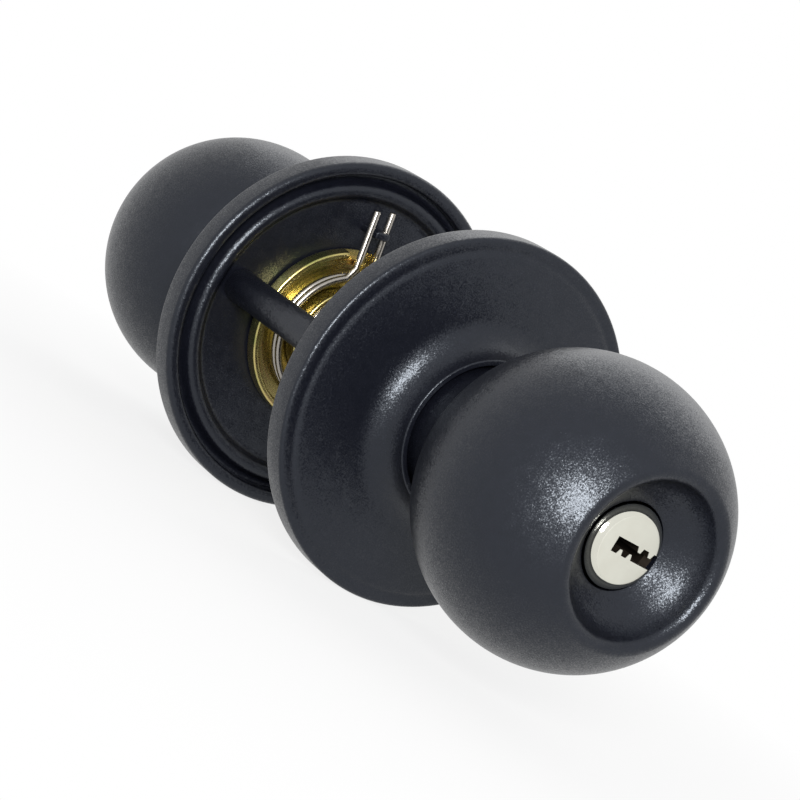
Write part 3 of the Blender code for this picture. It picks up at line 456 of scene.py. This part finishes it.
def d_bar(radius, flat, low, high, steps=96):
    """A round bar along the half's axis, with one flat on its lower side."""
    form = bmesh.new()
    middle = Matrix.Translation((0.0, 0.0, (low + high) / 2 * MM))
    bmesh.ops.create_cone(
        form, cap_ends=True, segments=steps, radius1=radius * MM, radius2=radius * MM,
        depth=(high - low) * MM, matrix=middle,
    )
    whole = form.verts[:] + form.edges[:] + form.faces[:]
    bmesh.ops.bisect_plane(
        form, geom=whole, plane_co=(0, -flat * MM, 0), plane_no=(0, -1, 0), clear_outer=True,
        dist=0.0001 * MM,
    )
    open_edges = [edge for edge in form.edges if edge.is_boundary]
    bmesh.ops.edgeloop_fill(form, edges=open_edges)
    bmesh.ops.recalc_face_normals(form, faces=form.faces[:])
    return form


def cut(form, tool):
    """Takes the tool's shape out of the form."""
    pieces = []
    for name, shape in (("stock", form), ("tool", tool)):
        mesh = bpy.data.meshes.new(name)
        shape.to_mesh(mesh)
        shape.free()
        pieces.append(bpy.data.objects.new(name, mesh))
        bpy.context.scene.collection.objects.link(pieces[-1])
    stock, cutter = pieces
    boolean = stock.modifiers.new("cut", "BOOLEAN")
    boolean.operation = "DIFFERENCE"
    boolean.object = cutter
    boolean.solver = "EXACT"
    result = bmesh.new()
    result.from_object(stock, bpy.context.evaluated_depsgraph_get())
    for piece in pieces:
        bpy.data.objects.remove(piece, do_unlink=True)
    return result


def shank_form(ring_top):
    """A shank with its shoulder in the knob's neck, and its groove behind the plate."""
    groove_top, groove_foot = ring_top + 0.15, ring_top - RING_THICKNESS - 0.15
    foot = groove_foot - SHANK_TAIL
    shank = turned_form(
        [
            (0.0, SHANK_TOP),
            (SHANK_SHOULDER, SHANK_TOP, 0.3),
            (SHANK_SHOULDER, SHANK_SEAT, 0.2),
            (SHANK_RADIUS, SHANK_SEAT),
            (SHANK_RADIUS, groove_top),
            (SHANK_RADIUS - RING_GROOVE, groove_top),
            (SHANK_RADIUS - RING_GROOVE, groove_foot),
            (SHANK_RADIUS, groove_foot, 0.1),
            (SHANK_RADIUS, foot, 0.35),
            (0.0, foot),
        ],
        closed=False,
        steps=96,
    )
    bore = d_bar(SPINDLE_RADIUS + RUNNING_GAP, SPINDLE_FLAT + RUNNING_GAP, foot - 1.0, SHANK_TOP + 1.0)
    return cut(shank, bore)


def ring_form(inner, outer, low, high, rounding, steps=96):
    """A flat ring with rounded edges."""
    corners = [(inner, high), (outer, high), (outer, low), (inner, low)]
    return turned_form([(*corner, rounding) for corner in corners], steps=steps, segments=3)


def circlip_form(ring_top):
    """An open spring ring, its mouth turned down."""
    inner = SHANK_RADIUS - RING_GROOVE + RUNNING_GAP
    ring = ring_form(inner, inner + CIRCLIP_WIDTH, ring_top - RING_THICKNESS, ring_top, 0.15)
    mouth = bmesh.new()
    half_mouth = CIRCLIP_MOUTH / 2
    add_box(mouth, (-half_mouth, -2 * SHANK_RADIUS, ring_top - 2), (half_mouth, 0, ring_top + 1))
    return cut(ring, mouth)


washer_top = PLATE_FLOOR - RUNNING_GAP
outside_ring_top = washer_top - RING_THICKNESS - RUNNING_GAP
settle(shank_form(outside_ring_top), "outside_shank_turned", "outside", zinc, "knobs", ["outside_shank"])
washer = ring_form(SHANK_RADIUS + RUNNING_GAP, WASHER_OUTER, washer_top - RING_THICKNESS, washer_top, 0.2)
settle(washer, "outside_washer_blanked", "outside", zinc, "knobs", ["outside_washer"])
settle(circlip_form(outside_ring_top), "outside_circlip_spring", "outside", steel, "knobs",
       ["outside_circlip"])


# The spindle, a hollow D bar that joins the knobs and turns the latch between them. It is rolled
# steel plated yellow, and the flat tail bar passes through it.
spindle_low, spindle_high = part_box("spindle")[0].y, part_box("spindle")[1].y
spindle_top = (outside_seat - spindle_low) / MM
spindle_foot = (outside_seat - spindle_high) / MM
spindle = d_bar(SPINDLE_RADIUS, SPINDLE_FLAT, spindle_foot, spindle_top)
bore = bmesh.new()
bmesh.ops.create_cone(
    bore, cap_ends=True, segments=64, radius1=SPINDLE_BORE * MM, radius2=SPINDLE_BORE * MM,
    depth=(spindle_top - spindle_foot + 4) * MM,
    matrix=Matrix.Translation((0, 0, (spindle_top + spindle_foot) / 2 * MM)),
)
settle(cut(spindle, bore), "spindle_rolled", "outside", zinc, "knobs", ["spindle"])


# The key cylinder inside the outside knob. Its holder, barrel, caps, springs and driver pins stay
# as the frame has them, out of sight, and get their finish only. The five key pins are turned
# brass, and the first one shows down the keyway.
BRASS_COLOUR = (0.80, 0.47, 0.26)
BRASS_SHADE = 0.7
BRASS_ROUGHNESS = 0.22
BRASS_ROUGHNESS_SPREAD = 0.2


def pin_brass():
    """Turned brass, mottled with a darker stain."""
    finish, shader, wire = new_finish("pin_brass", 1.0, 0.3)
    place = wire.node("TexCoord", out=3)
    stain = wire.node("TexNoise", inputs={"Vector": place, "Scale": 1 / (0.8 * MM), "Detail": 3.0})
    dark = tuple(BRASS_SHADE * channel for channel in BRASS_COLOUR)
    colour = wire.blend(stain, dark, BRASS_COLOUR)
    feed(shader, Base_Color=colour, Roughness=BRASS_ROUGHNESS + stain * BRASS_ROUGHNESS_SPREAD)
    return finish


NICKEL_FACE = (0.74, 0.74, 0.66)
NICKEL_SHADE = (0.66, 0.65, 0.57)
# The keyway's near-black colour is painted shade for the deep slot; the metal there is the same nickel as
# the face.
KEYWAY_PAINTED_SHADE = (0.045, 0.036, 0.028)
SLOT_HALF_HEIGHT = 1.27 * MM
SLOT_START = -3.07 * MM
SLOT_LIP = 0.1 * MM
POLISH_START = 5.55 * MM
POLISH_SMOOTHING = 0.85
POLISH_FLATTENING = 0.9
NICKEL_ROUGHNESS = 0.34
NICKEL_ROUGHNESS_SPREAD = 0.14
SLOT_ROUGHENING = 0.2

plug_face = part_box("key_plug")[0].y


def nickel_plate():
    """Nickel plate: a satin face with a warm cast, a polished shoulder, and a keyway painted dark as
    painted shade.
    """
    finish, shader, wire = new_finish("nickel_plate", 1.0, 0.35)
    place = wire.node("TexCoord", out=3)
    grain = wire.node("TexNoise", inputs={"Vector": place, "Scale": 1 / (0.35 * MM), "Detail": 4.0})
    cloud = wire.node("TexNoise", inputs={"Vector": place, "Scale": 1 / (3 * MM), "Detail": 2.0})
    colour = wire.blend(cloud, NICKEL_SHADE, NICKEL_FACE)
    across, deep, up = [wire.node("SeparateXYZ", inputs={"Vector": place}, out=axis) for axis in range(3)]
    level = wire.node("Math", {"operation": "ABSOLUTE"}, {0: up})
    slot = (level < SLOT_HALF_HEIGHT) * (across > SLOT_START) * (deep > plug_face + SLOT_LIP)
    # Inside the keyway the colour is swapped for a near-black painted shade, not a colour the nickel has.
    shown = wire.blend(slot, colour, KEYWAY_PAINTED_SHADE)
    shoulder = (radius_from_axis(wire, place) > POLISH_START) * (1 - slot)
    satin = NICKEL_ROUGHNESS + grain * NICKEL_ROUGHNESS_SPREAD
    fading = 1 - shoulder * POLISH_FLATTENING
    skin = wire.node("Bump", inputs={"Strength": fading, "Height": grain, "Distance": 0.004 * MM})
    roughness = satin * (1 - shoulder * POLISH_SMOOTHING) + slot * SLOT_ROUGHENING
    feed(shader, Base_Color=shown, Roughness=roughness, Normal=skin)
    return finish


brass = pin_brass()
nickel = nickel_plate()
kept_nodes = {
    "cylinder_holder": zinc,
    "cylinder_barrel": nickel,
    "chamber_cap": nickel,
    "plug_cap": nickel,
    "tail_bar": steel,
    "button_sleeve": zinc,
    "button_push_nut": steel,
}
for index in range(1, 6):
    kept_nodes["driver_pin_%d" % index] = brass
    kept_nodes["key_pin_%d" % index] = brass
    kept_nodes["pin_spring_%d" % index] = steel
for node_name, finish in kept_nodes.items():
    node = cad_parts[node_name]
    for slot in node.material_slots:
        slot.material = finish


# The key plug, turned brass plated with nickel. Its face is satin, its shoulder is polished, and
# the keyway is broached through it, with wards that leave a crooked slot open at the edge.
PLUG_RADIUS = 4.8
PLUG_FLANGE = 6.95
PLUG_FLANGE_HEIGHT = 1.75
PLUG_SHOULDER = 1.45
PLUG_STUB = 3.4
KEYWAY_START = -3.05
KEYWAY_HALF_HEIGHT = 1.25
KEYWAY_DEPTH = 20.5
WARD_DEPTH = 0.85

plug_top = (outside_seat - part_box("key_plug")[0].y) / MM
plug_stub_foot = (outside_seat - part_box("key_plug")[1].y) / MM


def keyway_form(top, foot):
    """The slot that the key enters, drawn as its outline and pulled down the plug."""
    high, low = KEYWAY_HALF_HEIGHT, -KEYWAY_HALF_HEIGHT
    reach = PLUG_FLANGE + 1.0
    corners = [
        (KEYWAY_START, high), (1.4, high), (1.75, high - WARD_DEPTH), (2.35, high - WARD_DEPTH),
        (2.6, high),
        (3.75, high), (4.0, high - WARD_DEPTH), (4.6, high - WARD_DEPTH), (4.95, high), (reach, high),
        (reach, low), (1.35, low), (1.05, low + WARD_DEPTH), (0.6, low + WARD_DEPTH), (0.25, low),
        (-0.75, low), (-1.0, low + WARD_DEPTH), (-1.5, low + WARD_DEPTH), (-1.85, low), (KEYWAY_START, low),
    ]
    form = bmesh.new()
    outline = [form.verts.new((x * MM, y * MM, foot * MM)) for x, y in corners]
    face = form.faces.new(outline)
    pulled = bmesh.ops.extrude_face_region(form, geom=[face])
    raised = [item for item in pulled["geom"] if isinstance(item, bmesh.types.BMVert)]
    bmesh.ops.translate(form, verts=raised, vec=(0.0, 0.0, (top - foot) * MM))
    bmesh.ops.recalc_face_normals(form, faces=form.faces[:])
    return form


flange_back = plug_top - PLUG_FLANGE_HEIGHT
plug_foot = plug_stub_foot + 2.6
plug = turned_form(
    [
        (0.0, plug_top),
        (PLUG_FLANGE - PLUG_SHOULDER, plug_top, 0.12),
        (PLUG_FLANGE - 0.3 * PLUG_SHOULDER, plug_top - 0.3 * PLUG_SHOULDER, 0.9),
        (PLUG_FLANGE, plug_top - PLUG_SHOULDER, 0.2),
        (PLUG_FLANGE, flange_back),
        (PLUG_RADIUS, flange_back),
        (PLUG_RADIUS, plug_foot),
        (PLUG_STUB, plug_foot),
        (PLUG_STUB, plug_stub_foot),
        (0.0, plug_stub_foot),
    ],
    closed=False,
    steps=128,
)
plug = cut(plug, keyway_form(plug_top + 1.0, plug_top - KEYWAY_DEPTH))
settle(plug, "key_plug_turned", "outside", nickel, "key_plug", ["key_plug"], 30.0)


# The two knobs, drawn from sheet steel into a ball with a hollow front and a straight neck, and
# powder coated black. The plug or the button sits in a round hole in the hollow.
KNOB_RADIUS = 25.0
KNOB_CENTRE = 40.5
KNOB_WALL = 1.2
NECK_RADIUS = 12.5
NECK_FOOT = 9.2
NECK_FILLET = 2.2
RIM_ROUNDING = 1.6
RIM_ANGLE = 52.44
DISH_HOLE = 7.3
DISH_FLOOR = 54.05
DISH_KNEE_RADIUS = 12.1
DISH_KNEE = 57.4
DISH_KNEE_ROUNDING = 1.9
DISH_WALL_SLOPE = 70.0
DISH_BACK_DROP = 9.0


def toward(radius, height, distance, degrees):
    """The point at this distance and direction, where 0 degrees is outwards and 90 is up."""
    angle = math.radians(degrees)
    return radius + distance * math.cos(angle), height + distance * math.sin(angle)


def knob_moves():
    """The knob's section: up the hollow, over its rim, round the ball and down the neck."""
    fillet_radius = NECK_RADIUS + NECK_FILLET
    fillet_drop = math.degrees(math.acos(fillet_radius / (KNOB_RADIUS + NECK_FILLET)))
    fillet = toward(0.0, KNOB_CENTRE, KNOB_RADIUS + NECK_FILLET, -fillet_drop)
    rim = toward(0.0, KNOB_CENTRE, KNOB_RADIUS - RIM_ROUNDING, RIM_ANGLE)
    up_slope = 90 + DISH_WALL_SLOPE
    inner_ball = KNOB_RADIUS - KNOB_WALL
    inner_neck = NECK_RADIUS - KNOB_WALL
    inner_drop = math.degrees(math.acos(inner_neck / inner_ball))
    inner_rise = RIM_ANGLE - DISH_BACK_DROP
    return [
        (DISH_HOLE, DISH_FLOOR),
        (DISH_KNEE_RADIUS, DISH_KNEE, DISH_KNEE_ROUNDING),
        toward(*rim, RIM_ROUNDING, up_slope),
        (*rim, RIM_ANGLE - up_slope, 16),
        (0.0, KNOB_CENTRE, -RIM_ANGLE - fillet_drop, 72),
        (*fillet, fillet_drop, 10),
        (NECK_RADIUS, NECK_FOOT, 0.25),
        (inner_neck, NECK_FOOT),
        toward(0.0, KNOB_CENTRE, inner_ball, -inner_drop),
        (0.0, KNOB_CENTRE, inner_drop + inner_rise, 24),
        (DISH_HOLE, DISH_FLOOR - KNOB_WALL),
    ]


for side in ("outside", "inside"):
    knob = turned_form(knob_moves(), steps=ROUND)
    settle(knob, side + "_knob_drawn", side, coat, "knobs", [side + "_knob"], 50.0)


# The two roses, drawn covers that hide the plates and clamp the door. Each has a rolled hem, a
# fine groove and bead at the edge of its face, and a neck that flares up round the knob.
ROSE_RADIUS = 32.5
ROSE_SHEET = 1.0
ROSE_HEM = 2.4
ROSE_HEM_CORNER = 0.95
ROSE_HEM_TOP = 2.54
ROSE_FACE = 5.4
ROSE_RISE = 0.9
ROSE_CORNER = 1.0
ROSE_BEAD = 2.0
ROSE_GROOVE = 0.15
ROSE_FLARE = 5.5
ROSE_LIP = 0.3
NECK_CLEARANCE = 0.7


def rose_moves():
    """The rose's section, from its neck's lip over the face to the hem, and back inside."""
    lip = NECK_RADIUS + NECK_CLEARANCE
    flare = lip + ROSE_SHEET + ROSE_FLARE
    flare_height = ROSE_FACE + ROSE_RISE + ROSE_FLARE
    bead = ROSE_RADIUS - ROSE_SHEET - ROSE_BEAD
    groove = bead + 0.4 * ROSE_BEAD
    wall = ROSE_RADIUS - ROSE_SHEET
    hem = ROSE_RADIUS - ROSE_HEM
    return [
        (lip, flare_height + ROSE_LIP, 0.2),
        (lip + ROSE_SHEET, flare_height + ROSE_LIP, 0.75),
        (lip + ROSE_SHEET, flare_height),
        (flare, flare_height, 90, 20),
        (bead, ROSE_FACE + 0.2 * ROSE_RISE, 0.4),
        (groove, ROSE_FACE - ROSE_GROOVE, 0.35),
        (ROSE_RADIUS - ROSE_CORNER, ROSE_FACE, 0.5),
        (ROSE_RADIUS, ROSE_FACE - 0.2, ROSE_CORNER - 0.2),
        (ROSE_RADIUS, 0.0, ROSE_HEM_CORNER),
        (hem, 0.0, ROSE_HEM_CORNER),
        (hem, ROSE_HEM_TOP),
        (wall, ROSE_HEM_TOP),
        (wall, ROSE_FACE - 1.25 * ROSE_SHEET),
        (groove, ROSE_FACE - ROSE_GROOVE - ROSE_SHEET),
        (bead, ROSE_FACE + 0.2 * ROSE_RISE - ROSE_SHEET),
        (flare, flare_height - ROSE_FLARE - ROSE_SHEET),
        (flare, flare_height, -90, 12),
    ]


SCREW_HEAD_RADIUS = 3.6
SCREW_HEAD_HEIGHT = 1.7
SCREW_RADIUS = 1.8
SCREW_LENGTH = 12.0
RECESS_LENGTH = 3.8
RECESS_WIDTH = 0.8
RECESS_DEPTH = 1.1

screw_face = (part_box("screw_left")[1].y - inside_seat) / MM


def countersink(x):
    """The tapered hole for one screw head."""
    form = bmesh.new()
    clear = SCREW_RADIUS + RUNNING_GAP
    foot = screw_face - SCREW_HEAD_HEIGHT - RUNNING_GAP
    top = screw_face + 1.0
    wide = clear + (top - foot) * (SCREW_HEAD_RADIUS - SCREW_RADIUS) / SCREW_HEAD_HEIGHT
    bmesh.ops.create_cone(
        form, cap_ends=True, segments=64, radius1=clear * MM, radius2=wide * MM, depth=(top - foot) * MM,
        matrix=Matrix.Translation((x * MM, 0.0, (top + foot) / 2 * MM)),
    )
    return form


settle(turned_form(rose_moves()), "outside_rose_drawn", "outside", coat, "roses", ["outside_rose"],
       50.0)
inside_rose = turned_form(rose_moves())
for x in (-post_offset, post_offset):
    inside_rose = cut(inside_rose, countersink(x))
settle(inside_rose, "inside_rose_drawn", "inside", coat, "roses", ["inside_rose"],
       40.0)


# The spring cup, pressed steel plated yellow, riveted to the inside plate. It keeps the return
# spring's coil in place round the shank, and a window in its wall lets the legs out.
CUP_RADIUS = 16.4
CUP_WALL = 1.2
CUP_BASE = 0.8
CUP_RIM = -0.6
CUP_INNER = 8.8
CUP_BASE_TOP = 2.3
COIL_RADIUS = 12.2
COIL_WIRE = 0.65
COIL_PITCH = 1.45
COIL_TURNS = 2
LEG_SPACING = 2.5
LEG_TIP = 24.6
LEG_BEND = 1.6

cup_floor = CUP_BASE_TOP - CUP_BASE
cup = turned_form(
    [
        (CUP_INNER, CUP_BASE_TOP),
        (CUP_RADIUS, CUP_BASE_TOP, 0.5),
        (CUP_RADIUS, CUP_RIM, 0.45),
        (CUP_RADIUS - CUP_WALL, CUP_RIM, 0.45),
        (CUP_RADIUS - CUP_WALL, cup_floor, 0.4),
        (CUP_INNER, cup_floor, 0.15),
    ],
    steps=ROUND,
)
window = bmesh.new()
window_half = LEG_SPACING + COIL_WIRE + 0.6
add_box(window, (-window_half, COIL_RADIUS, CUP_RIM - 1.0), (window_half, CUP_RADIUS + 1.0, cup_floor),
        SPRING_TURN)
settle(cut(cup, window), "spring_cup_pressed", "inside", zinc, "roses", ["spring_cup"])


# The return spring, bright hard-drawn wire wound two turns round the shank. Its two legs stand
# straight out of the cup, one each side of the plate's tab.
coil_start = cup_floor - RUNNING_GAP - COIL_WIRE


def spring_points():
    """Up one leg, round the coil and out along the other leg."""
    lean = math.degrees(math.asin(LEG_SPACING / COIL_RADIUS))
    start = 90 + lean + 6
    sweep = 360 * COIL_TURNS - 2 * (lean + 6)
    coil_end = coil_start - COIL_PITCH * sweep / 360
    steps = 60 * COIL_TURNS
    points = [(-LEG_SPACING, LEG_TIP, coil_start), (-LEG_SPACING, COIL_RADIUS + LEG_BEND, coil_start)]
    for step in range(steps + 1):
        angle = math.radians(start + sweep * step / steps)
        height = coil_start + (coil_end - coil_start) * step / steps
        points.append((COIL_RADIUS * math.cos(angle), COIL_RADIUS * math.sin(angle), height))
    points += [(LEG_SPACING, COIL_RADIUS + LEG_BEND, coil_end), (LEG_SPACING, LEG_TIP, coil_end)]
    return points


def wire_form(points, radius, sides=12):
    """A round wire: a bevelled curve through the points, made a mesh, with its ends rounded."""
    curve = bpy.data.curves.new("wire", "CURVE")
    curve.dimensions = "3D"
    curve.bevel_depth = radius * MM
    curve.bevel_resolution = sides // 4
    curve.use_fill_caps = True
    spline = curve.splines.new("POLY")
    spline.points.add(len(points) - 1)
    for target, point in zip(spline.points, points):
        target.co = (*(Vector(point) * MM), 1.0)
    holder = bpy.data.objects.new("wire", curve)
    bpy.context.scene.collection.objects.link(holder)
    form = bmesh.new()
    mesh = bpy.data.meshes.new_from_object(holder.evaluated_get(bpy.context.evaluated_depsgraph_get()))
    form.from_mesh(mesh)
    bpy.data.objects.remove(holder, do_unlink=True)
    bmesh.ops.remove_doubles(form, verts=form.verts[:], dist=0.002 * MM)
    caps = [edge for edge in form.edges if len(edge.link_faces) == 2 and edge.calc_face_angle() > 1.2]
    bmesh.ops.bevel(
        form, geom=caps, offset=0.3 * radius * MM, offset_type="OFFSET", segments=3, profile=0.5,
        affect="EDGES", clamp_overlap=True, material=-1,
    )
    return form


spring = wire_form(spring_points(), COIL_WIRE)
bmesh.ops.rotate(spring, verts=spring.verts[:], cent=(0, 0, 0),
                 matrix=Matrix.Rotation(math.radians(SPRING_TURN), 3, "Z"))
settle(spring, "return_spring_wire", "inside", steel, "roses", ["return_spring"], 60.0)


# The inside shank and the hub on it: a pressed disc whose finger and tooth push one leg of the
# spring as the knob turns, and an open ring that keeps them on.
HUB_RADIUS = 10.4
HUB_SLEEVE_RADIUS = SHANK_RADIUS + 1.1
DOG_INNER = 13.4
DOG_OUTER = 14.6

hub_top = coil_start - COIL_TURNS * COIL_PITCH - COIL_WIRE - RUNNING_GAP
hub_foot = hub_top - RING_THICKNESS
hub = turned_form(
    [
        (SHANK_RADIUS + RUNNING_GAP, cup_floor - RUNNING_GAP),
        (HUB_SLEEVE_RADIUS, cup_floor - RUNNING_GAP, 0.2),
        (HUB_SLEEVE_RADIUS, hub_top),
        (HUB_RADIUS, hub_top, 0.2),
        (HUB_RADIUS, hub_foot, 0.3),
        (SHANK_RADIUS + RUNNING_GAP, hub_foot, 0.15),
    ],
    steps=96,
)
add_box(hub, (-TAB_HALF_WIDTH, HUB_RADIUS - 0.9, hub_foot), (TAB_HALF_WIDTH, DOG_OUTER, hub_top),
        SPRING_TURN, 0.15)
add_box(hub, (-TAB_HALF_WIDTH, DOG_INNER, hub_foot + 0.1), (TAB_HALF_WIDTH, DOG_OUTER, cup_floor - 0.6),
        SPRING_TURN, 0.15)
settle(hub, "spring_hub_pressed", "inside", zinc, "knobs", ["spring_hub"])
inside_ring_top = hub_foot - RUNNING_GAP
settle(shank_form(inside_ring_top), "inside_shank_turned", "inside", zinc, "knobs", ["inside_shank"])
settle(circlip_form(inside_ring_top), "inside_circlip_spring", "inside", steel, "knobs",
       ["inside_circlip"])


# The two screws, countersunk steel with a cross recess, blackened to match. They pass the inside
# rose and plate and draw the posts up.
for side, x in (("left", post_offset), ("right", -post_offset)):
    tip = PLATE_FLOOR - RUNNING_GAP - SCREW_LENGTH
    screw = turned_form(
        [
            (0.0, screw_face),
            (SCREW_HEAD_RADIUS, screw_face, 0.12),
            (SCREW_HEAD_RADIUS, screw_face - 0.3),
            (SCREW_RADIUS, screw_face - SCREW_HEAD_HEIGHT, 0.2),
            (SCREW_RADIUS, tip + SCREW_RADIUS, 0.2),
            (0.5 * SCREW_RADIUS, tip),
            (0.0, tip),
        ],
        closed=False,
        steps=64,
    )
    for turn_degrees in (0, 90):
        recess = bmesh.new()
        add_box(
            recess,
            (-RECESS_LENGTH / 2, -RECESS_WIDTH / 2, screw_face - RECESS_DEPTH),
            (RECESS_LENGTH / 2, RECESS_WIDTH / 2, screw_face + 1.0),
            turn_degrees,
        )
        screw = cut(screw, recess)
    bmesh.ops.translate(screw, verts=screw.verts[:], vec=(-x * MM, 0.0, 0.0))
    settle(screw, "screw_" + side + "_turned", "inside", coat, "roses", ["screw_" + side])


# The turn button of the room side, a cast disc and thumb grip on a slotted stem, coated black.
# It sits in the inside knob's hollow as the plug sits in the outside one.
BUTTON_STEM = 4.6
GRIP_LENGTH = 12.4
GRIP_WIDTH = 3.4
GRIP_HEIGHT = 4.4

button_top = plug_top
button_foot = (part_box("turn_button")[0].y - inside_seat) / MM
button = turned_form(
    [
        (0.0, button_top),
        (PLUG_FLANGE, button_top, 0.5),
        (PLUG_FLANGE, flange_back),
        (BUTTON_STEM, flange_back),
        (BUTTON_STEM, button_foot, 0.3),
        (0.0, button_foot),
    ],
    closed=False,
    steps=128,
)
add_box(
    button,
    (-GRIP_LENGTH / 2, -GRIP_WIDTH / 2, button_top - 0.6),
    (GRIP_LENGTH / 2, GRIP_WIDTH / 2, button_top + GRIP_HEIGHT),
    0.0,
    0.9,
)
settle(button, "turn_button_cast", "inside", coat, "turn_button", ["turn_button"])


# The stage: a plain white floor under the roses and a soft studio round them. The floor and the
# world show white to the camera and in reflections, and the floor keeps the lockset's shadow.
FLOOR_SIZE = 6.0
FLOOR_GLOW = 0.8
SHADOW_START = 0.06
SHADOW_REACH = 0.2
KEY_PLACE = Vector((-0.60, -0.78, 0.20)) * 0.9
KEY_SIZE = 0.26
KEY_POWER = 12.0
TOP_PLACE = Vector((0.42, 0.44, 0.79))
TOP_SIZE = 1.0
TOP_POWER = 2.5
WORLD_LEVEL = 0.3


def white_rays(wire):
    """1 for what the camera, a reflection or glass sees, and 0 for light on the lockset."""
    rays = [wire.node("LightPath", out=number) for number in (0, 3, 6)]
    return wire.node("Math", {"operation": "ADD", "use_clamp": True}, {0: rays[0] + rays[1], 1: rays[2]})


floor_form = bmesh.new()
bmesh.ops.create_grid(
    floor_form, x_segments=1, y_segments=1, size=FLOOR_SIZE / 2,
    matrix=Matrix.Translation((0.0, 0.0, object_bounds()[0].z - 0.1 * MM)),
)
floor_mesh = bpy.data.meshes.new("floor")
floor_form.to_mesh(floor_mesh)
floor_form.free()
floor = bpy.data.objects.new("floor", floor_mesh)
bpy.context.scene.collection.objects.link(floor)
floor_finish, floor_shader, floor_wire = new_finish("floor_white", 0.0, 0.9)
floor_shader.inputs["Base Color"].default_value = (0.9, 0.9, 0.9, 1.0)
seen = white_rays(floor_wire)
glow = floor_wire.node("Emission", inputs={"Color": (1.0, 1.0, 1.0, 1.0), "Strength": 1.0})
middle = floor_wire.node("TexCoord", out=3)
away = floor_wire.node("VectorMath", {"operation": "LENGTH"}, {0: middle}, out=1)
fade = floor_wire.node("MapRange", inputs={"Value": away, 1: SHADOW_START, 2: SHADOW_REACH,
                                           3: FLOOR_GLOW, 4: 1.0})
shown = floor_wire.node("MixShader", inputs={0: seen * fade})
floor_finish.node_tree.links.new(floor_shader.outputs[0], shown.socket.node.inputs[1])
floor_finish.node_tree.links.new(glow.socket, shown.socket.node.inputs[2])
outlet = floor_finish.node_tree.nodes["Material Output"]
floor_finish.node_tree.links.new(shown.socket, outlet.inputs["Surface"])
floor_mesh.materials.append(floor_finish)


def lamp(name, place, size, power):
    """A square soft light that faces the lockset."""
    light = bpy.data.lights.new(name, "AREA")
    light.size = size
    light.energy = power
    holder = bpy.data.objects.new(name, light)
    bpy.context.scene.collection.objects.link(holder)
    holder.location = place
    holder.rotation_euler = (-place).to_track_quat("-Z", "Y").to_euler()


lamp("key_light", KEY_PLACE, KEY_SIZE, KEY_POWER)
lamp("top_light", TOP_PLACE, TOP_SIZE, TOP_POWER)
world = bpy.data.worlds.new("studio")
bpy.context.scene.world = world
world.use_nodes = True
world_wire = Wire(world.node_tree)
background = world.node_tree.nodes["Background"]
background.inputs["Color"].default_value = (1.0, 1.0, 1.0, 1.0)
level = white_rays(world_wire) * (1.0 - WORLD_LEVEL) + WORLD_LEVEL
world.node_tree.links.new(level.socket, background.inputs["Strength"])
bpy.context.scene.view_settings.view_transform = "Standard"
